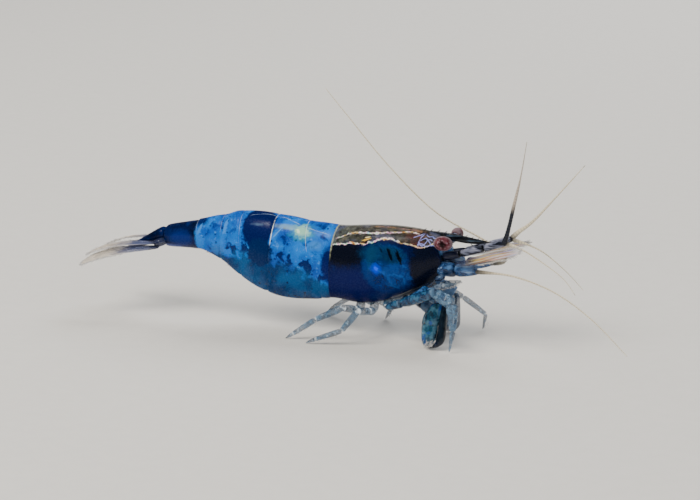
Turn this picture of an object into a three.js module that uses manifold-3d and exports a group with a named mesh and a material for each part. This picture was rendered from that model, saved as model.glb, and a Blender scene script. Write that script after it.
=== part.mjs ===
// A dwarf freshwater shrimp (Neocaridina davidi, a grown female), life size, standing on its walking legs.
// Millimetres. +X towards the head, +Y to the animal's left, +Z up, the floor at z = 0. While it is built,
// x = 0 is at the hind edge of the carapace and y = 0 is the animal's own mirror plane.
import * as THREE from "three";
import { mergeVertices } from "three/addons/utils/BufferGeometryUtils.js";
import Module from "manifold-3d";

const wasm = await Module();
wasm.setup();

// ---- driving dimensions ----
const AXIS_HEIGHT = 4.7; // the trunk's mid line over the floor, at the hind edge of the carapace
const SEAM = 0.03; // half the cut between two trunk plates, as a share of one plate
const GAP = 0.1; // clearance between neighbouring pieces
const FEELER_RADIUS = 0.25;
const BLADE_THICKNESS = 0.44; // tail blades and antennal scales
const EYE = { radius: 0.5, x: 8.1, y: 1.6, z: AXIS_HEIGHT + 2.35 };

const COLOURS = {
  darkShell: { color: 0x0c1734, roughness: 0.25 },
  blueShell: { color: 0x2466b4, roughness: 0.28 },
  limb: { color: 0x6d8ea8, roughness: 0.35 },
  fin: { color: 0xb9bcc4, roughness: 0.3 },
  eye: { color: 0x6e2f3d, roughness: 0.15 },
  feeler: { color: 0x9d9788, roughness: 0.4 },
};

// ---- the trunk's outlines, from the front of the carapace (station 0) to the tail (station 11) ----
// Stations 0 to 5 are the carapace. Station 5 + k is the hind edge of abdominal segment k.
// Heights are from the trunk's mid line at the carapace's hind edge.
const outline = (points) =>
  new THREE.SplineCurve(points.map(([x, z]) => new THREE.Vector2(x, z)));

const BACK_LINE = outline([
  [7.55, 2.42],
  [6.9, 2.62],
  [5.5, 2.86],
  [3.8, 2.93],
  [1.9, 2.8],
  [0.0, 2.62],
  [-2.15, 2.74],
  [-4.45, 3.0],
  [-7.0, 3.05],
  [-8.45, 2.68],
  [-10.4, 2.2],
  [-13.05, 1.62],
]);
const BELLY_LINE = outline([
  [7.8, 0.05],
  [6.6, -1.0],
  [5.2, -1.7],
  [3.7, -2.4],
  [1.9, -2.7],
  [0.0, -2.5],
  [-1.7, -2.65],
  [-4.1, -2.6],
  [-6.4, -1.75],
  [-8.2, -0.62],
  [-10.1, 0.05],
  [-13.0, 0.02],
]);
// Half width, and how square the lower half of the section is: 1 is an ellipse, less is squarer.
const GIRTH = outline([
  [0.95, 0.9],
  [1.3, 0.85],
  [1.6, 0.8],
  [1.8, 0.75],
  [1.84, 0.7],
  [1.74, 0.65],
  [1.72, 0.55],
  [1.78, 0.5],
  [1.55, 0.5],
  [1.26, 0.55],
  [1.02, 0.8],
  [0.72, 1.0],
]);
const LAST_STATION = 11;
const CARAPACE_END = 5;
const SEGMENTS = 6;
const WIDEST_AT = 0.45; // the widest height of a section, as a share of its whole height

// How far each plate's hind edge runs back below its top, in stations: first the carapace, then segments 1 to 6.
// The second segment's side plate covers the first one's, so that seam runs forward.
const EDGE_SWEEP = [0.1, -0.45, 0.3, 0.2, 0.1, 0.05, 0];

// ---- making geometry ----
// A closed body made from a cylinder, each of whose vertices is put at place(share, angle, rim): share runs
// from 0 at the back to 1 at the front, angle from 0 at the top towards the animal's right, rim is 0 or 1.
function moulded(around, along, place) {
  const geometry = new THREE.CylinderGeometry(1, 1, 1, around, along);
  const position = geometry.getAttribute("position");
  for (let i = 0; i < position.count; i++) {
    const x = position.getX(i);
    const z = position.getZ(i);
    const point = place(position.getY(i) + 0.5, Math.atan2(x, z), Math.hypot(x, z));
    position.setXYZ(i, point.x, point.y, point.z);
  }
  return bare(geometry);
}

// The closed mesh alone, with shared vertices merged.
function bare(geometry) {
  const flat = geometry.index ? geometry.toNonIndexed() : geometry.clone();
  flat.deleteAttribute("normal");
  flat.deleteAttribute("uv");
  return mergeVertices(flat, 1e-4);
}

function toSolid(geometry) {
  const mesh = bare(geometry);
  return new wasm.Manifold(
    new wasm.Mesh({
      numProp: 3,
      vertProperties: mesh.getAttribute("position").array,
      triVerts: new Uint32Array(mesh.index.array),
    }),
  );
}

function toGeometry(solid) {
  const mesh = solid.getMesh();
  const geometry = new THREE.BufferGeometry();
  geometry.setAttribute("position", new THREE.BufferAttribute(mesh.vertProperties, 3));
  geometry.setIndex(new THREE.BufferAttribute(mesh.triVerts, 1));
  return geometry;
}

const joined = (...geometries) =>
  toGeometry(geometries.map(toSolid).reduce((whole, part) => whole.add(part)));
const cut = (geometry, tool) => toGeometry(toSolid(geometry).subtract(toSolid(tool)));

// A tapering limb through stations [x, y, z, width radius, height radius], whose rings lie across the path.
function limb(stations, sides = 8) {
  const points = stations.map(([x, y, z]) => new THREE.Vector3(x, y, z));
  const last = points.length - 1;
  const frames = points.map((point, i) => {
    const before = points[Math.max(i - 1, 0)];
    const after = points[Math.min(i + 1, last)];
    const along = after.clone().sub(before).normalize();
    const up = Math.abs(along.z) > 0.9 ? new THREE.Vector3(1, 0, 0) : new THREE.Vector3(0, 0, 1);
    const side = along.clone().cross(up).normalize();
    return { point, side, up: side.clone().cross(along).normalize() };
  });
  // Neighbouring rings keep the same turn, so that the limb doesn't wring itself.
  frames.forEach((frame, i) => {
    const before = frames[i - 1];
    if (!before) return;
    const across = frame.side.clone().cross(frame.up).normalize();
    frame.side = before.side.clone().addScaledVector(across, -before.side.dot(across)).normalize();
    frame.up = across.clone().cross(frame.side).normalize();
  });
  return moulded(sides, last, (share, angle, rim) => {
    const i = Math.round(share * last);
    const { point, side, up } = frames[i];
    return point
      .clone()
      .addScaledVector(side, rim * stations[i][3] * Math.sin(angle))
      .addScaledVector(up, rim * stations[i][4] * Math.cos(angle));
  });
}

// The stations of a jointed limb: each segment swells in its middle and narrows at its joints.
function jointed(joints, radii) {
  const stations = [];
  joints.forEach((joint, i) => {
    stations.push([...joint, radii[i] * 0.86, radii[i] * 0.86]);
    const next = joints[i + 1];
    if (!next) return;
    for (const [share, swell] of [
      [0.2, 1.05],
      [0.75, 1.0],
    ]) {
      const at = joint.map((value, k) => value + (next[k] - value) * share);
      const radius = (radii[i] + (radii[i + 1] - radii[i]) * share) * swell;
      stations.push([...at, radius, radius]);
    }
  });
  return stations;
}

// An even tube along a smooth curve through a few points.
function feeler(points, steps) {
  const path = new THREE.CatmullRomCurve3(points.map((p) => new THREE.Vector3(...p)));
  const section = new THREE.Shape().absarc(0, 0, FEELER_RADIUS, 0, 2 * Math.PI);
  return new THREE.ExtrudeGeometry(section, { steps, extrudePath: path, curveSegments: 3 });
}

// A leaf-shaped plate of even thickness, with its root at the origin and its tip along +X.
function blade(length, width, widestShare, tipShare) {
  const half = width / 2;
  const leaf = new THREE.Shape();
  leaf.moveTo(0, -half * 0.35);
  leaf.quadraticCurveTo(length * widestShare * 0.5, -half, length * widestShare, -half);
  leaf.quadraticCurveTo(length * 0.96, -half, length, -half * tipShare);
  leaf.lineTo(length, half * tipShare);
  leaf.quadraticCurveTo(length * 0.96, half, length * widestShare, half);
  leaf.quadraticCurveTo(length * widestShare * 0.5, half, 0, half * 0.35);
  leaf.closePath();
  const plate = new THREE.ExtrudeGeometry(leaf, {
    depth: BLADE_THICKNESS,
    curveSegments: 5,
    bevelEnabled: false,
  });
  return plate.translate(0, 0, -BLADE_THICKNESS / 2);
}

// ---- the scene graph ----
const shrimp = new THREE.Group();

function add(name, geometry, finish, parent = shrimp) {
  const mesh = new THREE.Mesh(geometry, new THREE.MeshStandardMaterial({ ...COLOURS[finish], metalness: 0 }));
  mesh.name = name;
  parent.add(mesh);
  return mesh;
}

// ---- trunk plates ----
function trunkPoint(station, angle, rim) {
  const share = THREE.MathUtils.clamp(station / LAST_STATION, 0, 1);
  const back = BACK_LINE.getPoint(share);
  const belly = BELLY_LINE.getPoint(share);
  const { x: halfWidth, y: squareness } = GIRTH.getPoint(share);
  const middle = belly.clone().lerp(back, WIDEST_AT);
  const rise = Math.cos(angle);
  const power = rise < 0 ? squareness : 1;
  const end = rise < 0 ? belly : back;
  const at = middle.clone().lerp(end, rim * Math.abs(rise) ** power);
  const y = -rim * halfWidth * Math.sign(Math.sin(angle)) * Math.abs(Math.sin(angle)) ** power;
  return new THREE.Vector3(at.x, y, at.y + AXIS_HEIGHT);
}

// The seam behind plate k swings back or forward on the animal's sides.
function seam(plate, angle, rim) {
  const down = (1 - Math.cos(angle)) / 2;
  return CARAPACE_END + plate + rim * EDGE_SWEEP[plate] * down ** 1.3;
}

function trunkPlate(front, back, around, along) {
  return moulded(around, along, (share, angle, rim) => {
    const from = back(angle, rim);
    return trunkPoint(from + (front(angle, rim) - from) * share, angle, rim);
  });
}

// The hollow between the side plates, and the flesh that fills it under the carapace.
// Its roof stands at roofShare of the section's height.
function underside(fromStation, toStation, wall, roofShare, drop, along) {
  return moulded(14, along, (share, angle, rim) => {
    const station = toStation + (fromStation - toStation) * share;
    const at = station / LAST_STATION;
    const back = BACK_LINE.getPoint(at);
    const belly = BELLY_LINE.getPoint(at);
    const low = belly.clone().lerp(back, -drop / back.distanceTo(belly));
    const high = belly.clone().lerp(back, roofShare);
    const halfWidth = GIRTH.getPoint(at).x - wall;
    const middle = low.clone().lerp(high, 0.5);
    const rise = Math.cos(angle);
    const across = Math.sin(angle);
    const to = middle.clone().lerp(rise < 0 ? low : high, rim * Math.abs(rise) ** 0.6);
    const y = -rim * halfWidth * Math.sign(across) * Math.abs(across) ** 0.6;
    return new THREE.Vector3(to.x, y, to.y + AXIS_HEIGHT);
  });
}

// The rostrum: a thin upright blade with a toothed upper edge, one piece with the carapace.
function rostrum() {
  const root = { x: 6.2, top: 2.74, bottom: 2.05 };
  const tip = { x: 10.9, z: 2.38 };
  const teeth = 9;
  const toothHeight = 0.13;
  const side = new THREE.Shape();
  side.moveTo(root.x, root.bottom);
  side.quadraticCurveTo(9.9, 1.86, tip.x, tip.z);
  const firstTooth = { x: tip.x - 0.5, z: tip.z + 0.14 };
  for (let i = 0; i <= teeth; i++) {
    const share = i / teeth;
    const x = firstTooth.x + (root.x + 0.6 - firstTooth.x) * share;
    const z = firstTooth.z + (root.top + 0.02 - firstTooth.z) * share;
    side.lineTo(x, z);
    side.lineTo(x - 0.04, z + toothHeight * (1 - 0.3 * share));
  }
  side.lineTo(root.x, root.top - 0.1);
  side.closePath();
  const thickness = 0.5;
  const blade = new THREE.ExtrudeGeometry(side, { depth: thickness, curveSegments: 6, bevelEnabled: false });
  return blade.translate(0, 0, -thickness / 2).rotateX(Math.PI / 2).translate(0, 0, AXIS_HEIGHT);
}

const FLESH = { from: 0.75, to: 4.85, wall: 0.72, roofShare: 0.3 };

function carapace() {
  const shell = trunkPlate(
    () => 0,
    (angle, rim) => seam(0, angle, rim) - SEAM,
    30,
    12,
  );
  const hollow = underside(FLESH.from - 0.06, FLESH.to + 0.4, FLESH.wall - GAP, FLESH.roofShare + 0.02, 0.6, 8);
  return cut(joined(shell, rostrum()), hollow);
}

function trunk() {
  add("carapace", carapace(), "darkShell");
  add("thorax", underside(FLESH.from, FLESH.to, FLESH.wall, FLESH.roofShare, 0.12, 8), "limb");
  const hollow = underside(CARAPACE_END - 0.3, CARAPACE_END + 5.35, 0.48, 0.27, 0.6, 14);
  for (let k = 1; k <= SEGMENTS; k++) {
    const plate = trunkPlate(
      (angle, rim) => seam(k - 1, angle, rim) + SEAM,
      (angle, rim) => seam(k, angle, rim) - SEAM,
      24,
      k === SEGMENTS ? 4 : 3,
    );
    add(`abdomen_${k}`, k < SEGMENTS ? cut(plate, hollow) : plate, "blueShell");
  }
}

// ---- tail fan: telson on top, inner blades beside it, outer blades lowest ----
function tailFan() {
  const fan = new THREE.Group();
  fan.position.set(-13.2, 0, AXIS_HEIGHT + 0.85);
  shrimp.add(fan);
  const telsonDroop = THREE.MathUtils.degToRad(24);
  const bladeDroop = THREE.MathUtils.degToRad(8);
  const bladeRoof = THREE.MathUtils.degToRad(8); // both blades of a side slope down outwards
  const telson = limb(
    [
      [0, 0, 0.1, 0.5, 0.5],
      [-1.2, 0, 0.1, 0.52, 0.42],
      [-2.8, 0, 0.06, 0.4, 0.3],
      [-4.0, 0, 0, 0.28, 0.25],
    ],
    10,
  );
  add("telson", telson, "darkShell", fan).rotation.y = -telsonDroop;
  for (const [side, sign] of [
    ["right", -1],
    ["left", 1],
  ]) {
    const inner = add(`uropod_inner_${side}`, blade(5.3, 1.15, 0.5, 0.3), "fin", fan);
    inner.position.set(0.05, 0.84 * sign, -0.22);
    inner.rotation.set(-sign * bladeRoof, -bladeDroop, Math.PI - sign * THREE.MathUtils.degToRad(9), "YXZ");
    const outer = add(`uropod_outer_${side}`, blade(5.7, 1.35, 0.55, 0.4), "fin", fan);
    outer.position.set(0.15, 0.9 * sign, -0.78);
    outer.rotation.set(-sign * bladeRoof, -bladeDroop, Math.PI - sign * THREE.MathUtils.degToRad(17), "YXZ");
  }
}

// ---- head ----
function head(side, sign) {
  const h = AXIS_HEIGHT;
  const eye = add(`eye_${side}`, bare(new THREE.SphereGeometry(EYE.radius, 14, 9)), "eye");
  eye.position.set(EYE.x, EYE.y * sign, EYE.z);
  const stalk = limb([
    [7.95, 0.6 * sign, h + 1.95, 0.25, 0.25],
    [8.02, 0.85 * sign, h + 2.06, 0.3, 0.3],
    [8.08, 1.2 * sign, h + 2.2, 0.32, 0.32],
  ]);
  const socket = new THREE.SphereGeometry(EYE.radius + GAP, 14, 9).translate(EYE.x, EYE.y * sign, EYE.z);
  add(`eyestalk_${side}`, cut(stalk, socket), "limb");
  const antennule = jointed(
    [
      [7.98, 0.5 * sign, h + 1.16],
      [9.5, 0.56 * sign, h + 1.6],
      [11.0, 0.62 * sign, h + 2.08],
      [12.0, 0.64 * sign, h + 2.45],
    ],
    [0.3, 0.28, 0.27, 0.27],
  );
  add(`antennule_${side}`, limb(antennule), "darkShell");
  const antennaBase = jointed(
    [
      [8.15, 1.15 * sign, h + 0.36],
      [9.1, 1.2 * sign, h + 0.46],
      [10.2, 1.28 * sign, h + 0.6],
    ],
    [0.44, 0.36, 0.3],
  );
  add(`antenna_base_${side}`, limb(antennaBase), "limb");
  const scale = add(`antenna_scale_${side}`, blade(4.95, 1.3, 0.6, 0.35), "fin");
  scale.position.set(8.9, 1.56 * sign, h + 1.08);
  const [roof, rise, turn] = [30, 14, 4].map(THREE.MathUtils.degToRad);
  scale.rotation.set(-sign * roof, -rise, sign * turn, "ZYX");
  const maxilliped = jointed(
    [
      [7.3, 0.45 * sign, h - 0.95],
      [8.0, 0.52 * sign, h - 0.82],
      [8.7, 0.48 * sign, h - 0.6],
    ],
    [0.28, 0.27, 0.25],
  );
  add(`maxilliped_${side}`, limb(maxilliped), "limb");
}

function mouthparts() {
  const h = AXIS_HEIGHT;
  const stations = [
    [7.3, 0, h - 0.5, 0.35, 0.35],
    [7.75, 0, h - 0.2, 0.52, 0.42],
    [8.2, 0, h + 0.12, 0.5, 0.42],
    [8.6, 0, h + 0.4, 0.32, 0.3],
  ];
  const block = limb(stations, 10);
  const shell = trunkPlate(
    () => 0,
    () => 2,
    32,
    3,
  );
  const carapaceRoom = toSolid(shell).translate([GAP, 0, -GAP]);
  add("mouthparts", toGeometry(toSolid(block).subtract(carapaceRoom)), "limb");
}

// ---- feelers ----
function feelers() {
  const h = AXIS_HEIGHT;
  const antennules = {
    right: {
      outer: [
        [12.15, -0.8, h + 2.8],
        [12.4, -0.82, h + 3.8],
        [12.7, -0.85, h + 5.0],
        [13.2, -0.9, h + 7.16],
        [13.6, -0.95, h + 9.34],
      ],
      inner: [
        [12.45, -0.62, h + 2.3],
        [13.8, -1.0, h + 2.1],
        [16.4, -1.8, h + 0.85],
        [17.4, -2.2, h - 0.1],
      ],
    },
    left: {
      outer: [
        [12.3, 0.8, h + 2.8],
        [13.3, 1.2, h + 3.65],
        [14.8, 1.85, h + 5.4],
        [16.46, 2.6, h + 7.44],
      ],
      inner: [
        [12.45, 0.62, h + 2.3],
        [14.2, 1.0, h + 1.7],
        [15.7, 1.5, h + 0.4],
        [16.7, 1.9, h - 0.8],
      ],
    },
  };
  for (const [side, pair] of Object.entries(antennules)) {
    for (const [name, points] of Object.entries(pair)) {
      add(`antennule_${name}_${side}`, feeler(points, 7), "feeler");
    }
  }
  const antennae = {
    right: [
      [10.45, -1.4, h + 0.63],
      [13.3, -2.4, h + 0.75],
      [16.6, -4.0, h + 0.35],
      [19.8, -6.0, h - 0.7],
      [22.8, -8.2, h - 2.2],
    ],
    left: [
      [10.45, 1.45, h + 0.57],
      [11.0, 2.3, h + 0.5],
      [10.7, 3.05, h + 0.95],
      [9.0, 3.1, h + 1.85],
      [5.7, 3.15, h + 3.4],
      [2.1, 3.7, h + 6.2],
      [-1.45, 4.7, h + 9.4],
      [-3.2, 5.3, h + 10.9],
    ],
  };
  for (const [side, points] of Object.entries(antennae)) {
    const whole = new THREE.CatmullRomCurve3(points.map((p) => new THREE.Vector3(...p)));
    const lengths = 2;
    const cutShare = GAP / whole.getLength() / 2;
    for (let i = 0; i < lengths; i++) {
      const from = i / lengths + (i ? cutShare : 0);
      const to = (i + 1) / lengths - (i < lengths - 1 ? cutShare : 0);
      const stretch = [0, 0.25, 0.5, 0.75, 1].map((share) => whole.getPointAt(from + (to - from) * share).toArray());
      add(`antenna_${side}_${i + 1}`, feeler(stretch, 8), "feeler");
    }
  }
}

// ---- limbs ----
// Each leg's joints from hip to toe, with y measured outwards from the mirror plane.
const CLAW_LEGS = {
  right: [
    { hip: [5.8, 0.42, 2.6], elbow: [6.5, 1.0, 2.7], wrist: [7.2, 1.25, 2.4], tip: [6.95, 1.25, 0], palm: 0.42 },
    { hip: [5.2, 1.0, 2.5], elbow: [7.0, 1.75, 3.8], wrist: [8.1, 1.95, 3.15], tip: [7.6, 2.9, 0], palm: 0.58 },
  ],
  left: [
    { hip: [5.8, 0.42, 2.6], elbow: [6.45, 1.0, 2.7], wrist: [7.1, 1.2, 2.4], tip: [6.6, 1.1, 0], palm: 0.42 },
    { hip: [5.2, 1.0, 2.5], elbow: [6.65, 1.82, 3.45], wrist: [7.6, 2.0, 2.8], tip: [7.2, 1.95, 0], palm: 0.46 },
  ],
};
const WALKING_LEGS = {
  right: [
    [[3.9, 1.25, 2.2], [8.0, 2.9, 3.95], [9.25, 3.05, 3.35], [9.35, 3.15, 1.5], [9.1, 3.15, 0]],
    [[2.9, 1.2, 1.85], [2.65, 3.4, 2.3], [1.7, 3.9, 1.0], [-0.05, 4.3, 0.35], [-0.7, 4.4, 0]],
    [[1.9, 1.2, 1.85], [1.35, 2.8, 2.3], [-0.5, 3.2, 1.4], [-2.0, 3.6, 0.35], [-2.45, 3.75, 0]],
  ],
  left: [
    [[3.9, 1.25, 2.2], [6.9, 2.45, 2.95], [7.9, 2.8, 2.4], [9.4, 3.3, 1.2], [9.15, 3.4, 0]],
    [[2.9, 1.2, 1.85], [3.5, 3.0, 2.5], [2.9, 3.4, 1.8], [2.2, 3.7, 0.6], [1.9, 3.7, 0]],
    [[1.9, 1.2, 1.85], [1.2, 2.9, 2.4], [0.1, 3.2, 1.9], [-1.9, 3.5, 0.6], [-2.5, 3.5, 0]],
  ],
};

const outwards = ([x, y, z], sign) => [x, y * sign, z];
const between = (a, b, share) => a.map((value, k) => value + (b[k] - value) * share);

// A foot's end is carried on below the floor and cut off level with it, which leaves a small flat to stand on.
const TOE_DIP = 0.15;
const FLOOR = new THREE.BoxGeometry(60, 60, 4).translate(0, 0, -2);
const standing = (geometry) => cut(geometry, FLOOR);

// A claw: the palm with its two fingers, a little open, their tips on the floor.
function claw({ wrist, tip, palm }, sign) {
  const from = outwards(wrist, sign);
  const to = outwards(tip, sign);
  const stations = [
    [0.11, palm * 0.6],
    [0.25, palm * 0.92],
    [0.5, palm * 0.95],
    [0.66, palm * 0.7],
  ];
  const hand = limb(stations.map(([share, radius]) => [...between(from, to, share), radius * 0.9, radius]));
  const fingers = [-1, 1].map((way) => {
    const reach = (share, spread, dip = 0) => {
      const [x, y, z] = between(from, to, share);
      return [x + way * spread, y, z - dip];
    };
    return limb([
      [...reach(0.4, palm * 0.52), palm * 0.5, palm * 0.55],
      [...reach(0.78, palm * 0.74), palm * 0.52, palm * 0.62],
      [...reach(1, 0.25, TOE_DIP), 0.24, 0.24],
    ]);
  });
  return standing(joined(hand, ...fingers));
}

function limbs(side, sign) {
  CLAW_LEGS[side].forEach((leg, i) => {
    const hip = outwards(leg.hip, sign);
    const elbow = outwards(leg.elbow, sign);
    const wrist = outwards(leg.wrist, sign);
    const mid = between(hip, elbow, 0.35);
    const arm = limb(jointed([hip, mid, elbow, wrist], [0.36, 0.38, 0.36, 0.36]));
    add(`claw_arm_${i + 1}_${side}`, arm, "limb");
    add(`claw_${i + 1}_${side}`, claw(leg, sign), "limb");
  });
  WALKING_LEGS[side].forEach((joints, i) => {
    const stations = jointed(
      joints.map((joint) => outwards(joint, sign)),
      [0.34, 0.32, 0.29, 0.26, 0.28],
    );
    stations[stations.length - 1][2] -= TOE_DIP;
    add(`leg_${i + 3}_${side}`, standing(limb(stations)), "limb");
  });
}

// The five pairs of swimming limbs hang in the hollow between the side plates, folded back.
function swimmerets(side, sign) {
  const fold = THREE.MathUtils.degToRad(48);
  for (let k = 1; k <= 5; k++) {
    const at = (CARAPACE_END + k - 0.5) / LAST_STATION;
    const belly = BELLY_LINE.getPoint(at);
    const back = BACK_LINE.getPoint(at);
    const roof = belly.clone().lerp(back, 0.27);
    const length = roof.distanceTo(belly) * (1.15 - 0.05 * k) + 0.35;
    const y = sign * (0.56 - 0.04 * k);
    const width = 0.34 - 0.022 * k;
    const stations = [
      [0.32 / length, width * 0.8, 0.25],
      [0.5, width, 0.27],
      [0.85, width, 0.25],
      [1, width * 0.6, 0.22],
    ].map(([share, wide, thick]) => [
      roof.x - length * share * Math.sin(fold),
      y,
      AXIS_HEIGHT + roof.y - length * share * Math.cos(fold),
      wide,
      thick,
    ]);
    add(`swimmeret_${k}_${side}`, limb(stations), "limb");
  }
}

trunk();
tailFan();
mouthparts();
for (const [side, sign] of [
  ["right", -1],
  ["left", 1],
]) {
  head(side, sign);
  limbs(side, sign);
  swimmerets(side, sign);
}
feelers();

// The part's origin is on the floor, under the middle of its bounding box.
const bounds = new THREE.Box3().setFromObject(shrimp, true);
const middle = bounds.getCenter(new THREE.Vector3());
shrimp.position.set(-middle.x, -middle.y, -bounds.min.z);

export default shrimp;
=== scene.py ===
import math
import random
from functools import partial

import bpy
from mathutils import Matrix, Vector


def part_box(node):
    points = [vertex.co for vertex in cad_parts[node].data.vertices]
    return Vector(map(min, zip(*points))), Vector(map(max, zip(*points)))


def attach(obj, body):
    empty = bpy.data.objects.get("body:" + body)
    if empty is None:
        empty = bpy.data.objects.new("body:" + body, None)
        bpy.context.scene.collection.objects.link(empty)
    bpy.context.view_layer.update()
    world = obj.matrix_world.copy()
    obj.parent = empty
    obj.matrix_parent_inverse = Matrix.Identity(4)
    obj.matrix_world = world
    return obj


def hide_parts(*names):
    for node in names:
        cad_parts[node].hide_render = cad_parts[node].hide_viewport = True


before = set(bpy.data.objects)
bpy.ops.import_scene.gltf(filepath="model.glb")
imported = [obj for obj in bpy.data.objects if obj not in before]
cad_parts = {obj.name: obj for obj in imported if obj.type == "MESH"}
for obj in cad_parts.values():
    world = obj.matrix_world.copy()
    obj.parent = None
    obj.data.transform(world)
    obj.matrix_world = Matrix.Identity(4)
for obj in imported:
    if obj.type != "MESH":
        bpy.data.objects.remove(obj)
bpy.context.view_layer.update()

rng = random.Random(11)
mm = 0.001

# The animal's own frame, in millimetres: x = 0 at the hind edge of the carapace and +x towards the head,
# y = 0 on its mirror plane and +y to its left, z = 0 on the floor. The right eye tells where that frame lies.
eye = {
    "centre": Vector((8.1, 1.6, 7.05)),
    # each eye is turned by itself, the left one far outwards: its half sizes, how far its middle lies ahead
    # of the solid's, and its turn
    "radii": {"right": (0.68, 0.5, 0.49), "left": (0.46, 0.38, 0.42)},
    "shift": {"right": -0.05, "left": -0.2},
    "turn": {"right": 6, "left": 62},
    "dotAt": (8.14, 2.08, 7.1),
    "facets": 14.0,  # to a millimetre, so each is 0.07 mm wide
}
eyeLow, eyeHigh = [Vector(corner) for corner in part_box("eye_right")]
bodyOrigin = (eyeLow + eyeHigh) / 2 - Vector((eye["centre"].x, -eye["centre"].y, eye["centre"].z)) * mm
bodyStand = Matrix.Translation(bodyOrigin)
bothSides = (("right", -1), ("left", 1))
axisHeight = 4.7  # the trunk's mid line over the floor


def at(x, y, z):
    return bodyOrigin + Vector((x, y, z)) * mm


def smoothAt(points, share):
    # the value of a smooth curve through evenly timed points
    last = len(points) - 1
    place = min(max(share, 0), 1) * last
    i = min(int(place), last - 1)
    t = place - i
    values = []
    for a, b, c, d in zip(*(points[min(max(i + k, 0), last)] for k in (-1, 0, 1, 2))):
        leave, arrive = (c - a) / 2, (d - b) / 2
        cubic = 2 * b - 2 * c + leave + arrive
        square = 3 * c - 3 * b - 2 * leave - arrive
        values.append(((cubic * t + square) * t + leave) * t + b)
    return values


def smoothNumber(numbers, share):
    return smoothAt([(number,) for number in numbers], share)[0]


def ease(low, high, value):
    t = min(max((value - low) / (high - low), 0), 1)
    return t * t * (3 - 2 * t)


def outwards(point, sign, lift=0.0):
    return (point[0], point[1] * sign, point[2] + lift)


def overAxis(point, sign):
    return outwards(point, sign, axisHeight)


# modelling


def activate(piece=None):
    # deselects all, then takes the piece in hand
    if bpy.context.object and bpy.context.object.mode != "OBJECT":
        bpy.ops.object.mode_set(mode="OBJECT")
    bpy.ops.object.select_all(action="DESELECT")
    if piece:
        piece.select_set(True)
        bpy.context.view_layer.objects.active = piece


def applyModifier(piece, kind, **values):
    activate(piece)
    modifier = piece.modifiers.new(kind.title(), kind)
    for key, value in values.items():
        setattr(modifier, key, value)
    bpy.ops.object.modifier_apply(modifier=modifier.name)


def inBox(box, across, up):
    return box[0] + box[2] * across, box[1] + box[3] * up


def joinPieces(name, parts):
    activate(parts[0])
    for part in parts:
        part.select_set(True)
    if len(parts) > 1:
        bpy.ops.object.join()
    parts[0].name = name
    return parts[0]


def finishPiece(name, parts, slot, material, *nodes):
    # its place goes into the mesh, then come its body and what it stands for; the slot is not used
    piece = joinPieces(name, parts)
    bpy.ops.object.transform_apply()
    bpy.ops.object.shade_smooth()
    piece.data.materials.clear()
    piece.data.materials.append(material)
    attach(piece, "root")
    if nodes:
        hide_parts(*nodes)


def newObject(name, data):
    piece = bpy.data.objects.new(name, data)
    bpy.context.collection.objects.link(piece)
    return piece


def copyOf(source, matrix):
    twin = newObject(source.name, source.data.copy())
    twin.matrix_world = matrix
    return twin


def place(piece, matrix):
    piece.matrix_world = matrix
    activate(piece)
    bpy.ops.object.transform_apply()
    return piece


def addValues(mesh, name, values):
    data = mesh.attributes.new(name, "FLOAT", "POINT").data
    for i, value in enumerate(values):
        data[i].value = value


def markAlong(mesh, tone):
    # "along" runs from 0 at a part's root to 1 at its tip, and "tone" tells one part from another
    reach = [v.co.x for v in mesh.vertices]
    low, high = min(reach), max(reach)
    addValues(mesh, "along", [(x - low) / (high - low) for x in reach])
    addValues(mesh, "tone", [tone] * len(reach))


def startFrom(addShape, name, **values):
    # a piece that starts as one of Blender's own shapes
    activate()
    addShape(**values)
    bpy.context.object.name = name
    return bpy.context.object


def extrudeRings(name, rings, sides=12, levels=1, tone=0.0, stand=None):
    # a closed form along +x, each ring extruded from the one before: x, y, z, half width, half height
    x, y, z, wide, high = rings[0]
    middle = Vector((x, y, z)) * mm
    turn = (0, math.pi / 2, 0)
    size = {"vertices": sides, "radius": wide * mm, "fill_type": "NGON"}
    piece = startFrom(bpy.ops.mesh.primitive_circle_add, name, location=middle, rotation=turn, **size)
    bpy.ops.object.transform_apply()
    bpy.ops.object.mode_set(mode="EDIT")
    bpy.ops.mesh.select_all(action="SELECT")
    bpy.ops.transform.resize(value=(1, 1, high / wide), center_override=middle)
    for ring in rings[1:]:
        step = (Vector(ring[:3]) - Vector((x, y, z))) * mm
        bpy.ops.mesh.extrude_region_move(TRANSFORM_OT_translate={"value": step})
        grow = (1, ring[3] / wide, ring[4] / high)
        bpy.ops.transform.resize(value=grow, center_override=Vector(ring[:3]) * mm)
        x, y, z, wide, high = ring
    bpy.ops.mesh.select_all(action="SELECT")
    bpy.ops.mesh.normals_make_consistent(inside=False)
    bpy.ops.object.mode_set(mode="OBJECT")
    markAlong(piece.data, tone)
    if levels:
        applyModifier(piece, "SUBSURF", levels=levels, render_levels=levels)
    return place(piece, stand) if stand else piece


def facing(start, end, roll=0.0, up=None):
    # stands what runs along +x from the origin on start, pointing at end, both in the animal's frame
    run = (Vector(end) - Vector(start)).normalized()
    up = up or (Vector((0, 0, 1)) if abs(run.z) < 0.95 else Vector((1, 0, 0)))
    side = up.cross(run).normalized()
    turn = Matrix((run, side, run.cross(side))).transposed().to_4x4()
    return Matrix.Translation(at(*start)) @ turn @ Matrix.Rotation(math.radians(roll), 4, "X")


def joint(start, end, radii, profile, tone=0.0, flat=1.0, sides=10):
    # one joint of a limb; profile holds its share of the length and its swelling
    length = (Vector(end) - Vector(start)).length
    rings = []
    for share, swell in profile:
        radius = (radii[0] + (radii[1] - radii[0]) * share) * swell
        rings.append((share * length, 0, 0, radius * flat, radius))
    return extrudeRings("joint", rings, sides, 1, tone, facing(start, end))


# materials


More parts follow.
